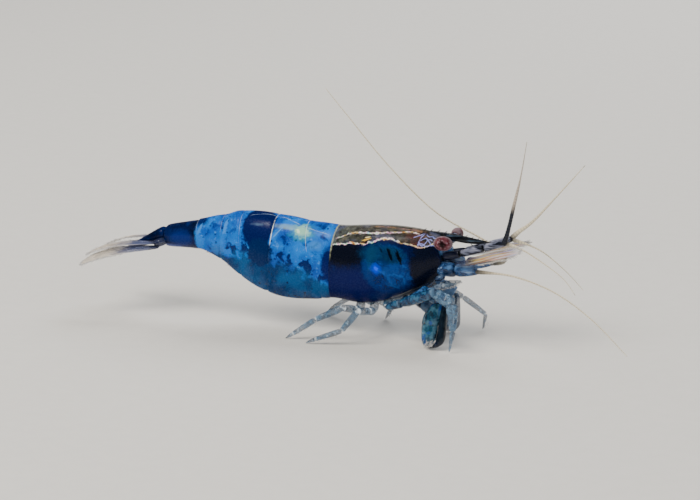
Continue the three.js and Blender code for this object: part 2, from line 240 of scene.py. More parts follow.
def linear(hexColour):
    channels = [int(hexColour[i : i + 2], 16) / 255 for i in (1, 3, 5)]
    return [c / 12.92 if c <= 0.04045 else ((c + 0.055) / 1.055) ** 2.4 for c in channels] + [1.0]


# the sorts of node in use: kind, sockets in the order they are filled, the output taken (None takes them all)
# and settings. The Mix node's sockets share their names, so they go by number.
stepSockets = ("Value", "From Min", "From Max", "To Max")
nodeSorts = {
    "mix": ("ShaderNodeMix", (0, 6, 7), 2, {"data_type": "RGBA"}),  # share, under, over
    "mixNumber": ("ShaderNodeMix", (0, 2, 3), 0, {"data_type": "FLOAT"}),
    # nothing at the first number, full at the second
    "softStep": ("ShaderNodeMapRange", stepSockets, 0, {"interpolation_type": "SMOOTHSTEP"}),
    "noise": ("ShaderNodeTexNoise", ("Vector", "Scale", "Detail", "Roughness", "Distortion"), 0, {}),
    "cells": ("ShaderNodeTexVoronoi", ("Vector", "Scale", "Randomness"), None, {}),
    "trunkMap": ("ShaderNodeUVMap", (), 0, {"uv_map": "trunkMap"}),
    "place": ("ShaderNodeTexCoord", (), "Object", {}),
    "mapping": ("ShaderNodeMapping", ("Vector", "Scale", "Rotation", "Location"), 0, {}),
    "axes": ("ShaderNodeSeparateXYZ", (0,), None, {}),
    "vector": ("ShaderNodeCombineXYZ", (0, 1, 2), 0, {}),
    "split": ("ShaderNodeSeparateColor", (0,), None, {}),
    "curve": ("ShaderNodeFloatCurve", ("Value",), 0, {}),
    "ramp": ("ShaderNodeValToRGB", (0,), 0, {}),
    "clamp": ("ShaderNodeClamp", (0,), 0, {}),
    "bump": ("ShaderNodeBump", ("Height", "Distance", "Strength"), 0, {}),
    "scale": ("ShaderNodeVectorMath", (0, "Scale"), 0, {"operation": "SCALE"}),
}
for sort in ("along", "tone", "rings", "rim"):
    nodeSorts[sort] = ("ShaderNodeAttribute", (), "Fac", {"attribute_name": sort})
for sort, operation in (
    ("plus", "ADD"), ("minus", "SUBTRACT"), ("times", "MULTIPLY"), ("timesPlus", "MULTIPLY_ADD"),
    ("size", "ABSOLUTE"), ("larger", "MAXIMUM"),
):
    nodeSorts[sort] = ("ShaderNodeMath", (0, 1, 2), 0, {"operation": operation})
for sort, output, operation in (
    ("vectorMinus", 0, "SUBTRACT"), ("vectorDivide", 0, "DIVIDE"), ("length", 1, "LENGTH"),
    ("distance", 1, "DISTANCE"), ("dot", 1, "DOT_PRODUCT"),
):
    nodeSorts[sort] = ("ShaderNodeVectorMath", (0, 1), output, {"operation": operation})


def addNode(tree, sort, *values, stops=()):
    # one node with its links and numbers, in the order of its sort's sockets; gives back what it puts out.
    # Stops are a ramp's tints or a curve's points, from the first to the last.
    kind, sockets, output, settings = nodeSorts[sort]
    node = tree.nodes.new(kind)
    for key, value in settings.items():
        setattr(node, key, value)
    for socket, value in zip(sockets, values):
        if isinstance(value, bpy.types.NodeSocket):
            tree.links.new(value, node.inputs[socket])
        elif value is not None:
            node.inputs[socket].default_value = linear(value) if isinstance(value, str) else value
    if stops and sort == "ramp":
        elements = node.color_ramp.elements
        for position, _ in stops[1:-1]:
            elements.new(position)
        for element, (position, tint) in zip(elements, stops):
            element.position = position
            element.color = linear(tint)
    elif stops:
        points = node.mapping.curves[0].points
        points[0].location, points[1].location = stops[0], stops[-1]
        for stop in stops[1:-1]:
            points.new(*stop)
        node.mapping.update()
    return node.outputs if output is None else node.outputs[output]


def newMaterial(name, finish):
    # gives the material, the means to add nodes to it, millimetres in the animal's own frame, and the same
    # with both sides alike
    material = bpy.data.materials.new(name)
    material.use_nodes = True
    for key, value in finish.items():
        material.node_tree.nodes["Principled BSDF"].inputs[key].default_value = value
    add = partial(addNode, material.node_tree)
    space = add("mapping", add("place"), (1 / mm, 1 / mm, 1 / mm), None, -bodyOrigin / mm)
    parts = add("axes", space)
    return material, add, space, add("vector", parts[0], add("size", parts[1]), parts[2])


def paint(add, colour, *layers):
    # tints laid over a colour in turn. A layer is a mask and its tint, or the value that places it, where
    # it starts and where it is full, how much it covers if not all, and its tint.
    for *where, tint in layers:
        mask = add("softStep", *where) if len(where) > 1 else where[0]
        colour = add("mix", mask, colour, tint)
    return colour


def layPatches(add, colour, cover, folded, grain, patches):
    # soft, ragged patches over a colour and its cover, which is 1 where nothing shows through. A patch is its
    # middle, its half sizes, its tint, how ragged and how soft it is, its share, and its cover if it has one.
    for middle, radii, tint, ragged, soft, share, *ownCover in patches:
        away = add("vectorDivide", add("vectorMinus", folded, middle), radii)
        reach = add("timesPlus", grain, ragged, add("length", away))
        lift = ragged / 2  # the grain is about a half on average
        mask = add("softStep", reach, 1 + soft + lift, 1 - soft + lift, share)
        colour = add("mix", mask, colour, tint)
        for value in ownCover:
            cover = add("mixNumber", mask, cover, value)
    return colour, cover


def setSurface(material, add, colour, cover=None, roughness=None, relief=None):
    # relief is a height, its depth in millimetres and its strength
    if relief:
        height, depth, strength = relief
        relief = add("bump", height, depth * mm, strength)
    shader = material.node_tree.nodes["Principled BSDF"]
    sources = {"Base Color": colour, "Alpha": cover, "Roughness": roughness, "Normal": relief}
    for socket, source in sources.items():
        if source is not None:
            material.node_tree.links.new(source, shader.inputs[socket])
    return material


# the trunk's form

# Outlines through twelve stations: 0 to 5 are the carapace, and 5 + k the hind edge of abdominal segment k.
trunk = {
    "back": (
        (7.55, 2.42), (6.9, 2.62), (5.5, 2.86), (3.8, 2.93), (1.9, 2.8), (0.0, 2.62),
        (-2.15, 2.74), (-4.45, 3.0), (-7.0, 3.05), (-8.45, 2.68), (-10.4, 2.2), (-13.05, 1.62),
    ),  # x and height over the axis
    "belly": (
        (7.8, 0.05), (6.6, -1.0), (5.2, -1.7), (3.7, -2.4), (1.9, -2.7), (0.0, -2.5),
        (-1.7, -2.65), (-4.1, -2.6), (-6.4, -1.75), (-8.2, -0.62), (-10.1, 0.05), (-13.0, 0.02),
    ),
    "girth": (
        (0.95, 0.9), (1.3, 0.85), (1.6, 0.8), (1.8, 0.75), (1.84, 0.7), (1.74, 0.65),
        (1.72, 0.55), (1.78, 0.5), (1.55, 0.5), (1.26, 0.55), (1.02, 0.8), (0.72, 1.0),
    ),  # half width, and how square the lower half is
    "widestAt": 0.45,
    "edgeSweep": (0.1, -0.45, 0.3, 0.2, 0.1, 0.05),  # how far each plate's hind edge runs back at the belly
}
lastStation = len(trunk["back"]) - 1


def trunkPoint(station, angle, depth=0.0):
    # angle in degrees from the top of the back towards the animal's left, depth in millimetres inwards
    share = station / lastStation
    backX, backZ = smoothAt(trunk["back"], share)
    bellyX, bellyZ = smoothAt(trunk["belly"], share)
    halfWidth, squareness = smoothAt(trunk["girth"], share)
    back, belly = Vector((backX, 0, backZ)), Vector((bellyX, 0, bellyZ))
    middle = belly.lerp(back, trunk["widestAt"])
    rise, across = math.cos(math.radians(angle)), math.sin(math.radians(angle))
    power = 1 if rise >= 0 else squareness
    point = middle.lerp(back if rise >= 0 else belly, abs(rise) ** power)
    point.y = math.copysign(halfWidth * abs(across) ** power, across)
    point += (middle - point).normalized() * depth
    return point + Vector((0, 0, axisHeight))


def trunkRing(station, swell, lift=0.0):
    # an oval ring across the trunk, its centre and its half sizes
    top, foot = trunkPoint(station, 0), trunkPoint(station, 180)
    middle = (top + foot) / 2
    halfWidth = smoothAt(trunk["girth"], station / lastStation)[0]
    halfHeight = (top - foot).length / 2
    return (middle.x, 0, middle.z + lift, halfWidth * swell, halfHeight * swell)


def seamAt(plate, angle):
    down = (1 - math.cos(math.radians(angle))) / 2
    return 5 + plate + trunk["edgeSweep"][plate] * down**1.3


def shellPlate(name, shape, front, hind, depthAt, reach, tone):
    # a grid laid on the trunk from one seam to the next and down both sides, then given its wall;
    # trunkMap holds the station over 11 and the angle over 360 from the middle
    columns, rows = shape["grid"]
    size = {"x_subdivisions": columns, "y_subdivisions": rows, "size": 2, "calc_uvs": True}
    piece = startFrom(bpy.ops.mesh.primitive_grid_add, name, **size)
    mesh = piece.data
    trunkMap = mesh.uv_layers[0]
    trunkMap.name = "trunkMap"
    markAlong(mesh, tone)
    onTrunk = []
    for vertex in mesh.vertices:
        share, angle = (vertex.co.x + 1) / 2, vertex.co.y * reach
        station = front(angle) + (hind(angle) - front(angle)) * share
        onTrunk.append((station / lastStation, 0.5 + angle / 360))
        vertex.co = at(*trunkPoint(station, angle, depthAt(share, angle)))
    for loop in mesh.loops:
        trunkMap.data[loop.index].uv = onTrunk[loop.vertex_index]
    mesh.flip_normals()
    applyModifier(piece, "SOLIDIFY", thickness=shape["wall"] * mm, offset=-1)
    applyModifier(piece, "SUBSURF", levels=1, render_levels=1)
    return piece


# marks laid on the trunk

wetGloss = {"IOR": 1.3, "Specular IOR Level": 0.32}  # the gloss of cuticle that is under water


def besidePath(add, path, wander, span):
    # how far below a path down the flank a place lies, in half turns, the way along, and down from the back;
    # a path is station over span and degrees from the top over 180
    parts = add("axes", add("trunkMap"))
    along = add("times", parts[0], lastStation / span)
    side = add("size", add("plus", parts[1], -0.5))
    down = add("timesPlus", side, 2.0, wander)
    return add("minus", down, add("curve", along, stops=path)), along, down


def streak(add, path, halfWidth, wander, breaks, span=5.2):
    # a broken pale line along both flanks, halfWidth in degrees; returns its mask and the way below it
    gap, along, _ = besidePath(add, path, wander, span)
    outside = add("timesPlus", breaks, -halfWidth / 180, add("size", gap))
    line = add("softStep", outside, 0.001, -0.004)
    low, high = path[0][0], path[-1][0]
    starts = add("softStep", along, low, low + 0.02)
    ends = add("softStep", along, high, high - 0.02)
    return add("times", line, add("times", starts, ends)), gap


def drawStroke(add, flank, start, end, halfWidth, wobble, taper=1.0):
    # the mask of a short ragged line on the flank, between two points given by x and height
    start, run = Vector((start[0], 0, start[1])), Vector((end[0] - start[0], 0, end[1] - start[1]))
    away = add("vectorMinus", flank, start)
    share = add("clamp", add("dot", away, run / run.length_squared))
    gap = add("distance", away, add("scale", run, share))
    worn = add("timesPlus", wobble, halfWidth * 3, gap)
    if taper:
        half = add("plus", share, -0.5)
        worn = add("timesPlus", add("times", half, half), 4 * halfWidth * taper, worn)
    return add("softStep", worn, halfWidth * 2.7, halfWidth * 2.2)


def flankOf(add, folded):
    # the side view: x and height alone
    folds = add("axes", folded)
    return add("vector", folds[0], None, folds[2]), folds


print("carapace")

carapaceShape = {
    "wall": 0.07,
    "reach": 158,
    "grid": (30, 64),
    # where the front margin lies, in stations, from the top down each side: rostrum root, orbit, spine, cheek
    "front": (0.3, 0.42, 0.55, 0.25, 0.06, 0.08, 0.22, 0.7),
    "overlap": 0.05,
    # how high or deep the forms are: the keel, the groove behind the neck, the gill's swelling, the lower rim
    # tucked in under the body, and the hind edge's lip
    "keel": 0.1,
    "neckGroove": 0.05,
    "gill": 0.05,
    "tuck": 0.14,
    "lip": 0.03,
}
# two pale streaks of painted highlight, the lower also bounding the clear band: station over 5.2, degrees
# from top over 180
streakPaths = {
    "upper": (
        (0.31, 0.122), (0.39, 0.117), (0.5, 0.144), (0.6, 0.161), (0.73, 0.156), (0.84, 0.167), (0.95, 0.228),
    ),
    "lower": (
        (0.14, 0.228), (0.23, 0.278), (0.3, 0.3), (0.39, 0.272), (0.48, 0.25), (0.55, 0.222), (0.61, 0.233),
        (0.68, 0.256), (0.75, 0.272), (0.83, 0.267), (0.91, 0.278), (0.97, 0.283),
    ),
    "crest": ((0.3, 0.085), (0.38, 0.07), (0.48, 0.078), (0.58, 0.066), (0.7, 0.06)),
}
carapacePatches = (
    ((1.6, 1.7, 3.4), (2.4, 1.6, 1.5), "#000a46", 0.6, 0.5, 1.0),
    ((6.6, 1.0, 5.0), (1.15, 1.5, 2.2), "#050a1c", 0.6, 0.3, 1.0),
    ((0.9, 1.6, 5.7), (1.9, 1.2, 0.85), "#060a18", 0.6, 0.35, 1.0),
    ((4.0, 1.7, 5.0), (1.62, 1.3, 1.62), "#002c68", 0.7, 0.14, 1.0, 0.9),
    ((3.5, 1.6, 5.9), (1.3, 1.2, 0.6), "#06345c", 1.0, 0.4, 1.0, 0.74),
    ((2.95, 1.6, 5.6), (0.3, 1.2, 0.9), "#083e62", 1.4, 0.4, 0.7),
    ((4.4, 1.6, 4.1), (1.3, 1.2, 0.9), "#001f5c", 0.9, 0.3, 1.0),
    ((4.75, 1.5, 4.35), (0.9, 1.0, 0.6), "#033c80", 1.9, 0.3, 0.8),
    ((4.0, 1.6, 5.05), (1.1, 1.0, 0.5), "#033c80", 1.9, 0.3, 0.8),
    ((4.5, 1.6, 5.85), (0.8, 1.0, 0.5), "#06304c", 1.2, 0.3, 0.7),
    # the blue spark's halo, a painted highlight
    ((3.36, 1.8, 4.95), (0.34, 0.8, 0.34), "#0036c8", 0.9, 0.5, 1.0),
    ((3.75, 1.3, 3.0), (1.0, 1.0, 0.35), "#011a50", 0.6, 0.4, 0.7),
)
# short strokes drawn on both flanks: from and to, half width, colour; the first three are the window's dark
# leaves, then come the blue spark, a painted highlight, the rims round the cells and the dark clefts between
# them
windowStrokes = (
    ((4.02, 6.38), (4.5, 5.5), 0.1, "#01060f"),
    ((4.66, 6.3), (5.1, 5.35), 0.12, "#01060f"),
    ((3.45, 6.4), (3.75, 6.0), 0.06, "#01060f"),
    ((3.16, 5.08), (3.52, 4.84), 0.11, "#0a58ff"),
    ((3.45, 4.9), (4.0, 4.6), 0.07, "#0a4a9c"),
    ((4.1, 4.65), (4.5, 3.85), 0.1, "#084488"),
    ((4.4, 4.75), (5.3, 4.45), 0.1, "#084a90"),
    ((5.25, 4.6), (5.3, 3.95), 0.1, "#084488"),
    ((4.3, 3.9), (5.0, 3.62), 0.09, "#084488"),
    ((4.5, 4.5), (5.0, 4.15), 0.06, "#001f55"),
    ((4.75, 4.35), (4.8, 3.9), 0.05, "#001f55"),
    ((3.75, 4.75), (3.95, 4.2), 0.06, "#001a4c"),
)
goldStrokes = (
    ((2.05, 6.66), (2.75, 6.88), 0.06, "#d0a83c"),
    ((2.25, 6.86), (2.65, 6.95), 0.045, "#efe0a0"),
    ((2.3, 6.62), (2.5, 6.95), 0.04, "#c88c3c"),
)
# the lilac loops behind the eye
eyeLoops = (
    ((6.1, 6.62), (6.12, 7.0), (6.4, 7.38), (6.85, 7.5), (7.3, 7.42)),
    ((6.2, 6.95), (6.5, 7.1), (6.75, 6.92), (7.0, 6.66)),
    ((6.42, 7.4), (6.6, 7.18), (6.9, 7.2), (7.1, 7.06), (7.45, 7.14)),
    ((6.05, 6.7), (6.35, 6.78), (6.6, 6.6), (7.0, 6.7), (7.25, 6.62)),
    ((6.62, 7.56), (6.8, 7.3), (7.15, 7.3), (7.4, 7.4)),
    ((6.12, 6.85), (6.3, 6.62), (6.5, 6.72), (6.72, 7.05), (6.95, 6.95)),
    ((5.7, 7.12), (5.95, 7.2), (6.2, 7.3), (6.5, 7.55)),
)
# the tints of the painted highlight streaks
highlightTints = (
    (0.3, "#c9803f"), (0.38, "#f0d68a"), (0.45, "#ffffff"), (0.52, "#f19ac8"), (0.57, "#ffffff"),
    (0.63, "#bdeeb0"), (0.7, "#a9c4ff"),
)


def frontMargin(angle):
    return smoothNumber(carapaceShape["front"], abs(angle) / carapaceShape["reach"])


def hill(value, middle, width):
    return math.exp(-(((value - middle) / width) ** 2))


def carapaceDepth(share, angle):
    shape = carapaceShape
    down = abs(angle)
    keel = shape["keel"] * (1 - ease(2, 14, down)) * (1 - ease(0.05, 0.55, share))
    neckGroove = shape["neckGroove"] * hill(share - down / 900, 0.3, 0.03) * ease(40, 60, down)
    gill = shape["gill"] * hill(share, 0.62, 0.22) * hill(down, 100, 30)
    tuck = shape["tuck"] * ease(136, shape["reach"], down)
    return neckGroove + tuck - keel - gill - shape["lip"] * ease(0.94, 1.0, share)


def carapaceChitin():
    # Chitin: a thin hard cuticle over navy pigment. It is seen wet, so its gloss is low and the pigment deep.
    # Above the lower streak it holds little pigment and the body shows through.
    material, add, space, folded = newMaterial("carapaceChitin", wetGloss)
    dense = 0.99
    broad = add("noise", space, 1 / 1.6, 3)
    grain = add("noise", space, 1 / 0.32, 4, 0.65)
    fine = add("noise", space, 1 / 0.09, 2)
    jags = add("noise", space, 1 / 0.36, 5, 0.8)
    cells = add("noise", space, 1 / 0.5, 3, None, 1.2)
    colour = paint(add, "#000727", (broad, "#000f42"), (grain, 0.55, 0.7, 0.45, "#02246a"))
    colour, cover = layPatches(add, colour, dense, folded, grain, carapacePatches)

    # dark and light cells inside the window, and its strokes, the blue spark of painted highlight among them
    window = add("softStep", add("distance", folded, (4.2, 1.7, 4.9)), 1.55, 1.1)
    for low, high, tint in ((0.52, 0.38, "#001a48"), (0.6, 0.72, "#08509c")):
        inside = add("times", add("softStep", cells, low, high, 0.6), window)
        colour = paint(add, colour, (inside, tint))
    flank, folds = flankOf(add, folded)
    for *stroke, tint in windowStrokes:
        colour = paint(add, colour, (drawStroke(add, flank, *stroke, grain), tint))

    # two streaks of painted highlight along each flank, and a pale line along the crest
    wander = add("timesPlus", jags, 0.1, -0.05)
    breaks = add("softStep", add("noise", space, 1 / 0.4, 4), 0.3, 0.64)
    breaks = add("timesPlus", breaks, 0.62, 0.38)
    lower, below = streak(add, streakPaths["lower"], 1.7, wander, breaks)
    upper, _ = streak(add, streakPaths["upper"], 1.9, wander, breaks)
    crest, _ = streak(add, streakPaths["crest"], 3.2, wander, add("softStep", jags, 0.38, 0.6))

    # the clear band over the lower streak, smokier towards the eyes
    clear = add("softStep", below, 0.01, -0.016)
    brown = add("softStep", add("distance", folded, (5.9, 0.8, 7.0)), 1.2, 0.3, 0.9)
    bandTone = paint(
        add,
        paint(add, "#5a6058", (folds[0], -0.2, 2.6, "#37372f")),
        (broad, 0.44, 0.6, "#565c7a"),
        (jags, 0.5, 0.62, 0.6, "#8c8470"),
        (grain, 0.46, 0.62, 0.85, "#121216"),
        (add("times", brown, add("softStep", grain, 0.62, 0.42)), "#5c302c"),
    )
    cover = add("mixNumber", clear, cover, add("timesPlus", grain, 0.5, 0.32))

    # the streaks, in the tints of painted highlight, and a tangle of lilac lines behind each eye
    tints = add("ramp", add("noise", space, 1 / 0.45, 1), stops=highlightTints)
    goldenHighlight = add("times", add("softStep", folds[0], 3.6, 5.4, 0.75), lower)
    lines = add("larger", lower, upper)
    crestTint = paint(add, "#b98a52", (cells, 0.42, 0.58, "#a07a84"))
    loops = 0.0
    for loop in eyeLoops:
        bends = [smoothAt(loop, i / 6) for i in range(7)]
        for bend, nextBend in zip(bends, bends[1:]):
            loops = add("larger", loops, drawStroke(add, flank, bend, nextBend, 0.022, jags, 0.0))
    loops = add("times", loops, add("softStep", folds[1], 0.3, 0.6))
    colour = paint(
        add,
        colour,
        (clear, bandTone),
        (lines, paint(add, tints, (goldenHighlight, "#d9b87c"))),
        (add("times", crest, 0.7), crestTint),
        (loops, "#8f98e0"),
    )
    for mask in (lines, loops):
        cover = add("mixNumber", mask, cover, dense)
    for *stroke, tint in goldStrokes:
        fleck = drawStroke(add, flank, *stroke, jags)
        colour = paint(add, colour, (fleck, tint))
        cover = add("mixNumber", fleck, cover, dense)

    # the hind edge shows as a thin pale line, on the back only
    down = add("size", add("plus", add("axes", add("trunkMap"))[1], -0.5))
    edge = add("times", add("softStep", add("along"), 0.984, 0.99), add("softStep", down, 0.22, 0.13, 0.8))
    edge = add("times", edge, add("softStep", jags, 0.36, 0.54))
    colour = paint(add, colour, (edge, "#c2c7a0"))

    # fine pits and a soft unevenness of the wet surface
    height = add("mixNumber", 0.45, grain, fine)
    roughness = add("timesPlus", fine, 0.22, 0.16)
    return setSurface(material, add, colour, cover, roughness, (height, 0.018, 0.6))


rostrumShape = {
    # x, height over the axis of the blade's middle, half width, half height
    "rings": (
        (5.6, 2.62, 0.1, 0.16), (6.4, 2.6, 0.13, 0.22), (7.4, 2.52, 0.14, 0.27), (8.4, 2.44, 0.13, 0.29),
        (9.3, 2.33, 0.1, 0.27), (10.1, 2.3, 0.07, 0.17), (10.6, 2.31, 0.04, 0.08), (10.95, 2.33, 0.015, 0.02),
    ),
    # how many teeth, which way they stand, and the shares of the blade's length they cover
    "teeth": ((13, 1, 0.03, 0.9), (4, -1, 0.6, 0.88)),
    "tooth": (0.24, 0.05),  # length and half width
    "cheekSpine": (0.12, 62, 0.06, 1.5),  # station, angle, depth of its root, and its size beside a tooth
}


def rostrumChitin():
    # the same cuticle drawn out to a blade, nearly black at its core and horn-clear at its edges
    finish = {"IOR": 1.3, "Roughness": 0.25, "Coat Weight": 0.1, "Coat Roughness": 0.08}
    material, add, space, _ = newMaterial("rostrumChitin", finish)
    grain = add("noise", space, 1 / 0.2, 3)
    streaks = add("noise", add("mapping", space, (0.3, 3.0, 3.0)), 1 / 0.5, 3)
    colour = paint(
        add,
        "#04070f",
        (grain, 0.45, 0.7, "#101b2a"),
        (streaks, 0.58, 0.7, 0.7, "#4a6076"),
        (add("along"), 0.88, 1.0, 0.8, "#5a5a58"),
    )
    return setSurface(material, add, colour, add("timesPlus", grain, 0.2, 0.84), None, (grain, 0.015, 0.5))


def carapace():
    def hind(angle):
        return seamAt(0, angle) + carapaceShape["overlap"]

    reach = carapaceShape["reach"]
    shell = shellPlate("carapaceShell", carapaceShape, frontMargin, hind, carapaceDepth, reach, 0.6)
    finishPiece("carapaceShell", [shell], "carapace_shell", carapaceChitin(), "carapace")

    # the rostrum between the eyes, with teeth raked forward along both edges
    rings = [(x, 0, z + axisHeight, wide, high) for x, z, wide, high in rostrumShape["rings"]]
    parts = [extrudeRings("rostrum", rings, 8, stand=bodyStand)]
    long, thick = rostrumShape["tooth"]
    toothRings = [(-0.06, 0, 0, thick, thick), (long * 0.5, 0, 0.02, thick * 0.6, thick * 0.7)]
    tooth = extrudeRings("tooth", toothRings + [(long, 0, 0.06, 0.008, 0.008)], 6, tone=1.0)
    for count, way, first, last in rostrumShape["teeth"]:
        for i in range(count):
            share = first + (last - first) * i / (count - 1)
            x, z, _, high = smoothAt(rostrumShape["rings"], share)
            start = (x, 0, z + axisHeight + way * high * 0.86)
            stand = facing(start, (x + 1, 0, start[2] + way * 0.55), 0 if way > 0 else 180)
            parts.append(copyOf(tooth, stand @ Matrix.Scale(1 - 0.45 * share, 4)))
    # a spine at each cheek, under the eye
    station, angle, depth, size = rostrumShape["cheekSpine"]
    for _, sign in bothSides:
        root = trunkPoint(station, angle * sign, depth)
        tip = root + Vector((0.55, 0.02 * sign, 0.02))
        parts.append(copyOf(tooth, facing(root, tip) @ Matrix.Scale(size, 4)))
    bpy.data.objects.remove(tooth)
    finishPiece("rostrum", parts, "carapace_shell", rostrumChitin(), "carapace")


carapace()

print("abdomen")

abdomenShape = {
    "wall": 0.07,
    "grid": (16, 48),
    "reach": (152, 154, 153, 150, 150),  # how far each side plate hangs down
    "tuck": 0.12,  # how far a plate runs under the one before, in stations
    "tuckDepth": 0.13,
    "bulge": 0.06,
    "lip": 0.03,
    "hem": 0.1,  # how far the lower rim is drawn in
    "saddle": 0.16,  # how far the second plate's sides lie over the first's, in stations
    "roundFrom": 126,
    "rounding": (0.1, 0.13, 0.16, 0.18, 0.2),
    # each hind edge's pale rim carries painted highlight on the upper flank
    "rimAndHighlight": (0.55, 0.9, 0.25, 0.3, 0.2),  # how pale each hind edge is
}
# the border between the bright flank and the clearer side plates: station over 11, degrees down over 180
flankBorder = (
    (0.45, 0.57), (0.5, 0.52), (0.56, 0.47), (0.64, 0.45), (0.73, 0.46), (0.8, 0.55), (0.88, 0.7),
    (0.95, 0.8),
)
abdomenPatches = (
    ((-5.55, 0.9, 6.9), (1.18, 1.6, 1.6), "#00114a", 0.4, 0.1, 1.0, 0.99),
    ((-5.25, 1.7, 5.3), (0.95, 0.9, 0.95), "#011e4c", 0.9, 0.15, 1.0, 0.95),
    ((-2.3, 1.05, 6.8), (0.8, 0.9, 0.5), "#2f93a8", 2.2, 0.5, 0.7),
    ((-2.35, 1.05, 6.88), (0.5, 0.8, 0.34), "#9fd4b8", 2.4, 0.4, 0.8),
    ((-0.1, 1.7, 4.9), (0.6, 1.2, 1.2), "#001250", 0.8, 0.25, 1.0, 0.97),
    ((-1.2, 1.5, 6.1), (0.5, 0.6, 0.3), "#3f86cc", 1.6, 0.5, 0.5),
    ((-3.4, 0.9, 7.1), (0.9, 0.5, 0.16), "#7fb0b4", 1.2, 0.5, 0.5),
    ((-10.3, 0.5, 6.9), (0.7, 0.9, 0.35), "#021c54", 0.8, 0.4, 1.0),
    # a painted highlight on the back of the dark saddle
    ((-5.6, 0.7, 7.12), (0.55, 0.5, 0.1), "#54708f", 1.6, 0.5, 0.6),
    ((-8.6, 1.2, 5.1), (0.5, 0.6, 0.35), "#3a6ba4", 0.9, 0.5, 0.5),
)
# a thin line of painted highlight along the upper flank, station over 11 and degrees over 180, and strokes as
# on the carapace
highlightLine = (
    (0.47, 0.2), (0.524, 0.167), (0.567, 0.133), (0.596, 0.1), (0.625, 0.067), (0.651, 0.06), (0.676, 0.08),
    (0.709, 0.15),
)
abdomenStrokes = (
    # the first two are painted highlight: pale bars near the seams further back
    ((-7.95, 7.35), (-8.2, 6.2), 0.13, "#3a80d2"),
    ((-9.95, 6.8), (-10.2, 5.9), 0.14, "#3a7cc8"),
    ((-2.95, 6.95), (-2.25, 6.85), 0.15, "#86c4ac"),
    ((-2.75, 7.0), (-2.45, 6.75), 0.1, "#cfe8cc"),
    ((-3.6, 7.3), (-4.4, 6.3), 0.05, "#4a8cd0"),
)


def plateEnds(k):
    # the front and hind edge of abdominal plate k, rounded off towards the lower rim
    shape = abdomenShape
    reach = shape["reach"][k - 1]

    def inset(angle):
        t = min(max((abs(angle) - shape["roundFrom"]) / (reach - shape["roundFrom"]), 0), 1)
        return shape["rounding"][k - 1] * (1 - math.sqrt(1 - t * t))

    def sides(angle):
        return ease(55, 85, abs(angle))

    def front(angle):
        # the second plate's sides lie over the first's, every other front edge runs under its neighbour
        saddle = sides(angle) * (k == 2)
        return seamAt(k - 1, angle) - shape["tuck"] * (1 - saddle) - shape["saddle"] * saddle + inset(angle)

    def hind(angle):
        return seamAt(k, angle) + shape["lip"] - inset(angle) * 0.9

    def depth(share, angle):
        tucked = shape["tuckDepth"] * (1 - ease(0.0, 0.22, share))
        if k == 2:
            tucked = tucked * (1 - sides(angle)) - 0.04 * sides(angle) * (1 - ease(0.0, 0.3, share))
        if k == 1:
            tucked += 0.1 * sides(angle) * ease(0.7, 1.0, share)
        lip = shape["lip"] * ease(0.9, 1.0, share)
        hem = shape["hem"] * ease(reach - 16, reach, abs(angle))
        return tucked + hem - lip - shape["bulge"] * math.sin(math.pi * share)

    return front, hind, depth, reach


def abdomenChitin():
    # Chitin over blue pigment cells: a wet cuticle, milky blue marbled with dark star-shaped cells on the
    # back and flanks, and clearer teal side plates that let the limbs behind show faintly.
    material, add, space, folded = newMaterial("abdomenChitin", wetGloss)
    broad = add("noise", space, 1 / 1.5, 3, None, 0.4)
    grain = add("noise", space, 1 / 0.36, 4, 0.6)
    cells = add("noise", space, 1 / 0.62, 3, 0.55, 0.5)
    fine = add("noise", space, 1 / 0.09, 2)
    jags = add("noise", space, 1 / 0.3, 4, 0.8)
    stars = add("cells", space, 2.3, 1.0)
    dots = add("softStep", add("timesPlus", grain, 0.3, stars["Distance"]), 0.4, 0.3)
    dots = add("times", dots, add("softStep", add("split", stars["Color"])[0], 0.5, 0.6, 0.85))
    colour = paint(
        add,
        "#0448a4",
        (broad, 0.35, 0.65, "#1670cc"),
        (grain, 0.56, 0.74, 0.55, "#5aa2e6"),
        (cells, 0.55, 0.64, 0.85, "#023482"),
        (cells, 0.64, 0.7, 0.8, "#011f60"),
        (dots, "#01205e"),
    )

    # side plates
    ragged = add("timesPlus", cells, 0.22, -0.11)
    below, _, down = besidePath(add, flankBorder, ragged, lastStation)
    lowTone = paint(
        add,
        "#022c5a",
        (broad, 0.38, 0.62, "#054a80"),
        (grain, 0.56, 0.74, 0.5, "#17568a"),
        (dots, "#001844"),
    )
    low = add("softStep", below, -0.01, 0.06)
    spots = add("times", add("softStep", add("size", below), 0.07, 0.02), add("softStep", cells, 0.5, 0.58))
    colour = paint(add, colour, (low, lowTone), (spots, "#011c54"))
    cover = add("mixNumber", low, 0.97, add("timesPlus", cells, 0.36, 0.72))
    colour, cover = layPatches(add, colour, cover, folded, grain, abdomenPatches)
    flank, _ = flankOf(add, folded)
    for *stroke, tint in abdomenStrokes:
        colour = paint(add, colour, (drawStroke(add, flank, *stroke, jags), tint))
    # the line of painted highlight, broken
    wander = add("timesPlus", jags, 0.04, -0.02)
    highlightMask, _ = streak(add, highlightLine, 1.1, wander, add("softStep", jags, 0.3, 0.6), lastStation)

    # pale hind edges: each plate's clear rim, drawn on the upper flank only as painted highlight, and the
    # painted highlight line
    rim = add("times", add("softStep", add("along"), 0.972, 0.985), add("tone"))
    up = add("times", add("softStep", down, 0.42, 0.28), add("softStep", grain, 0.3, 0.55))
    colour = paint(add, colour, (add("times", highlightMask, 0.5), "#b4d2e2"), (add("times", rim, up), "#e6f2f0"))
    height = add("mixNumber", 0.4, grain, fine)
    roughness = add("timesPlus", fine, 0.22, 0.16)
    return setSurface(material, add, colour, cover, roughness, (height, 0.02, 0.6))


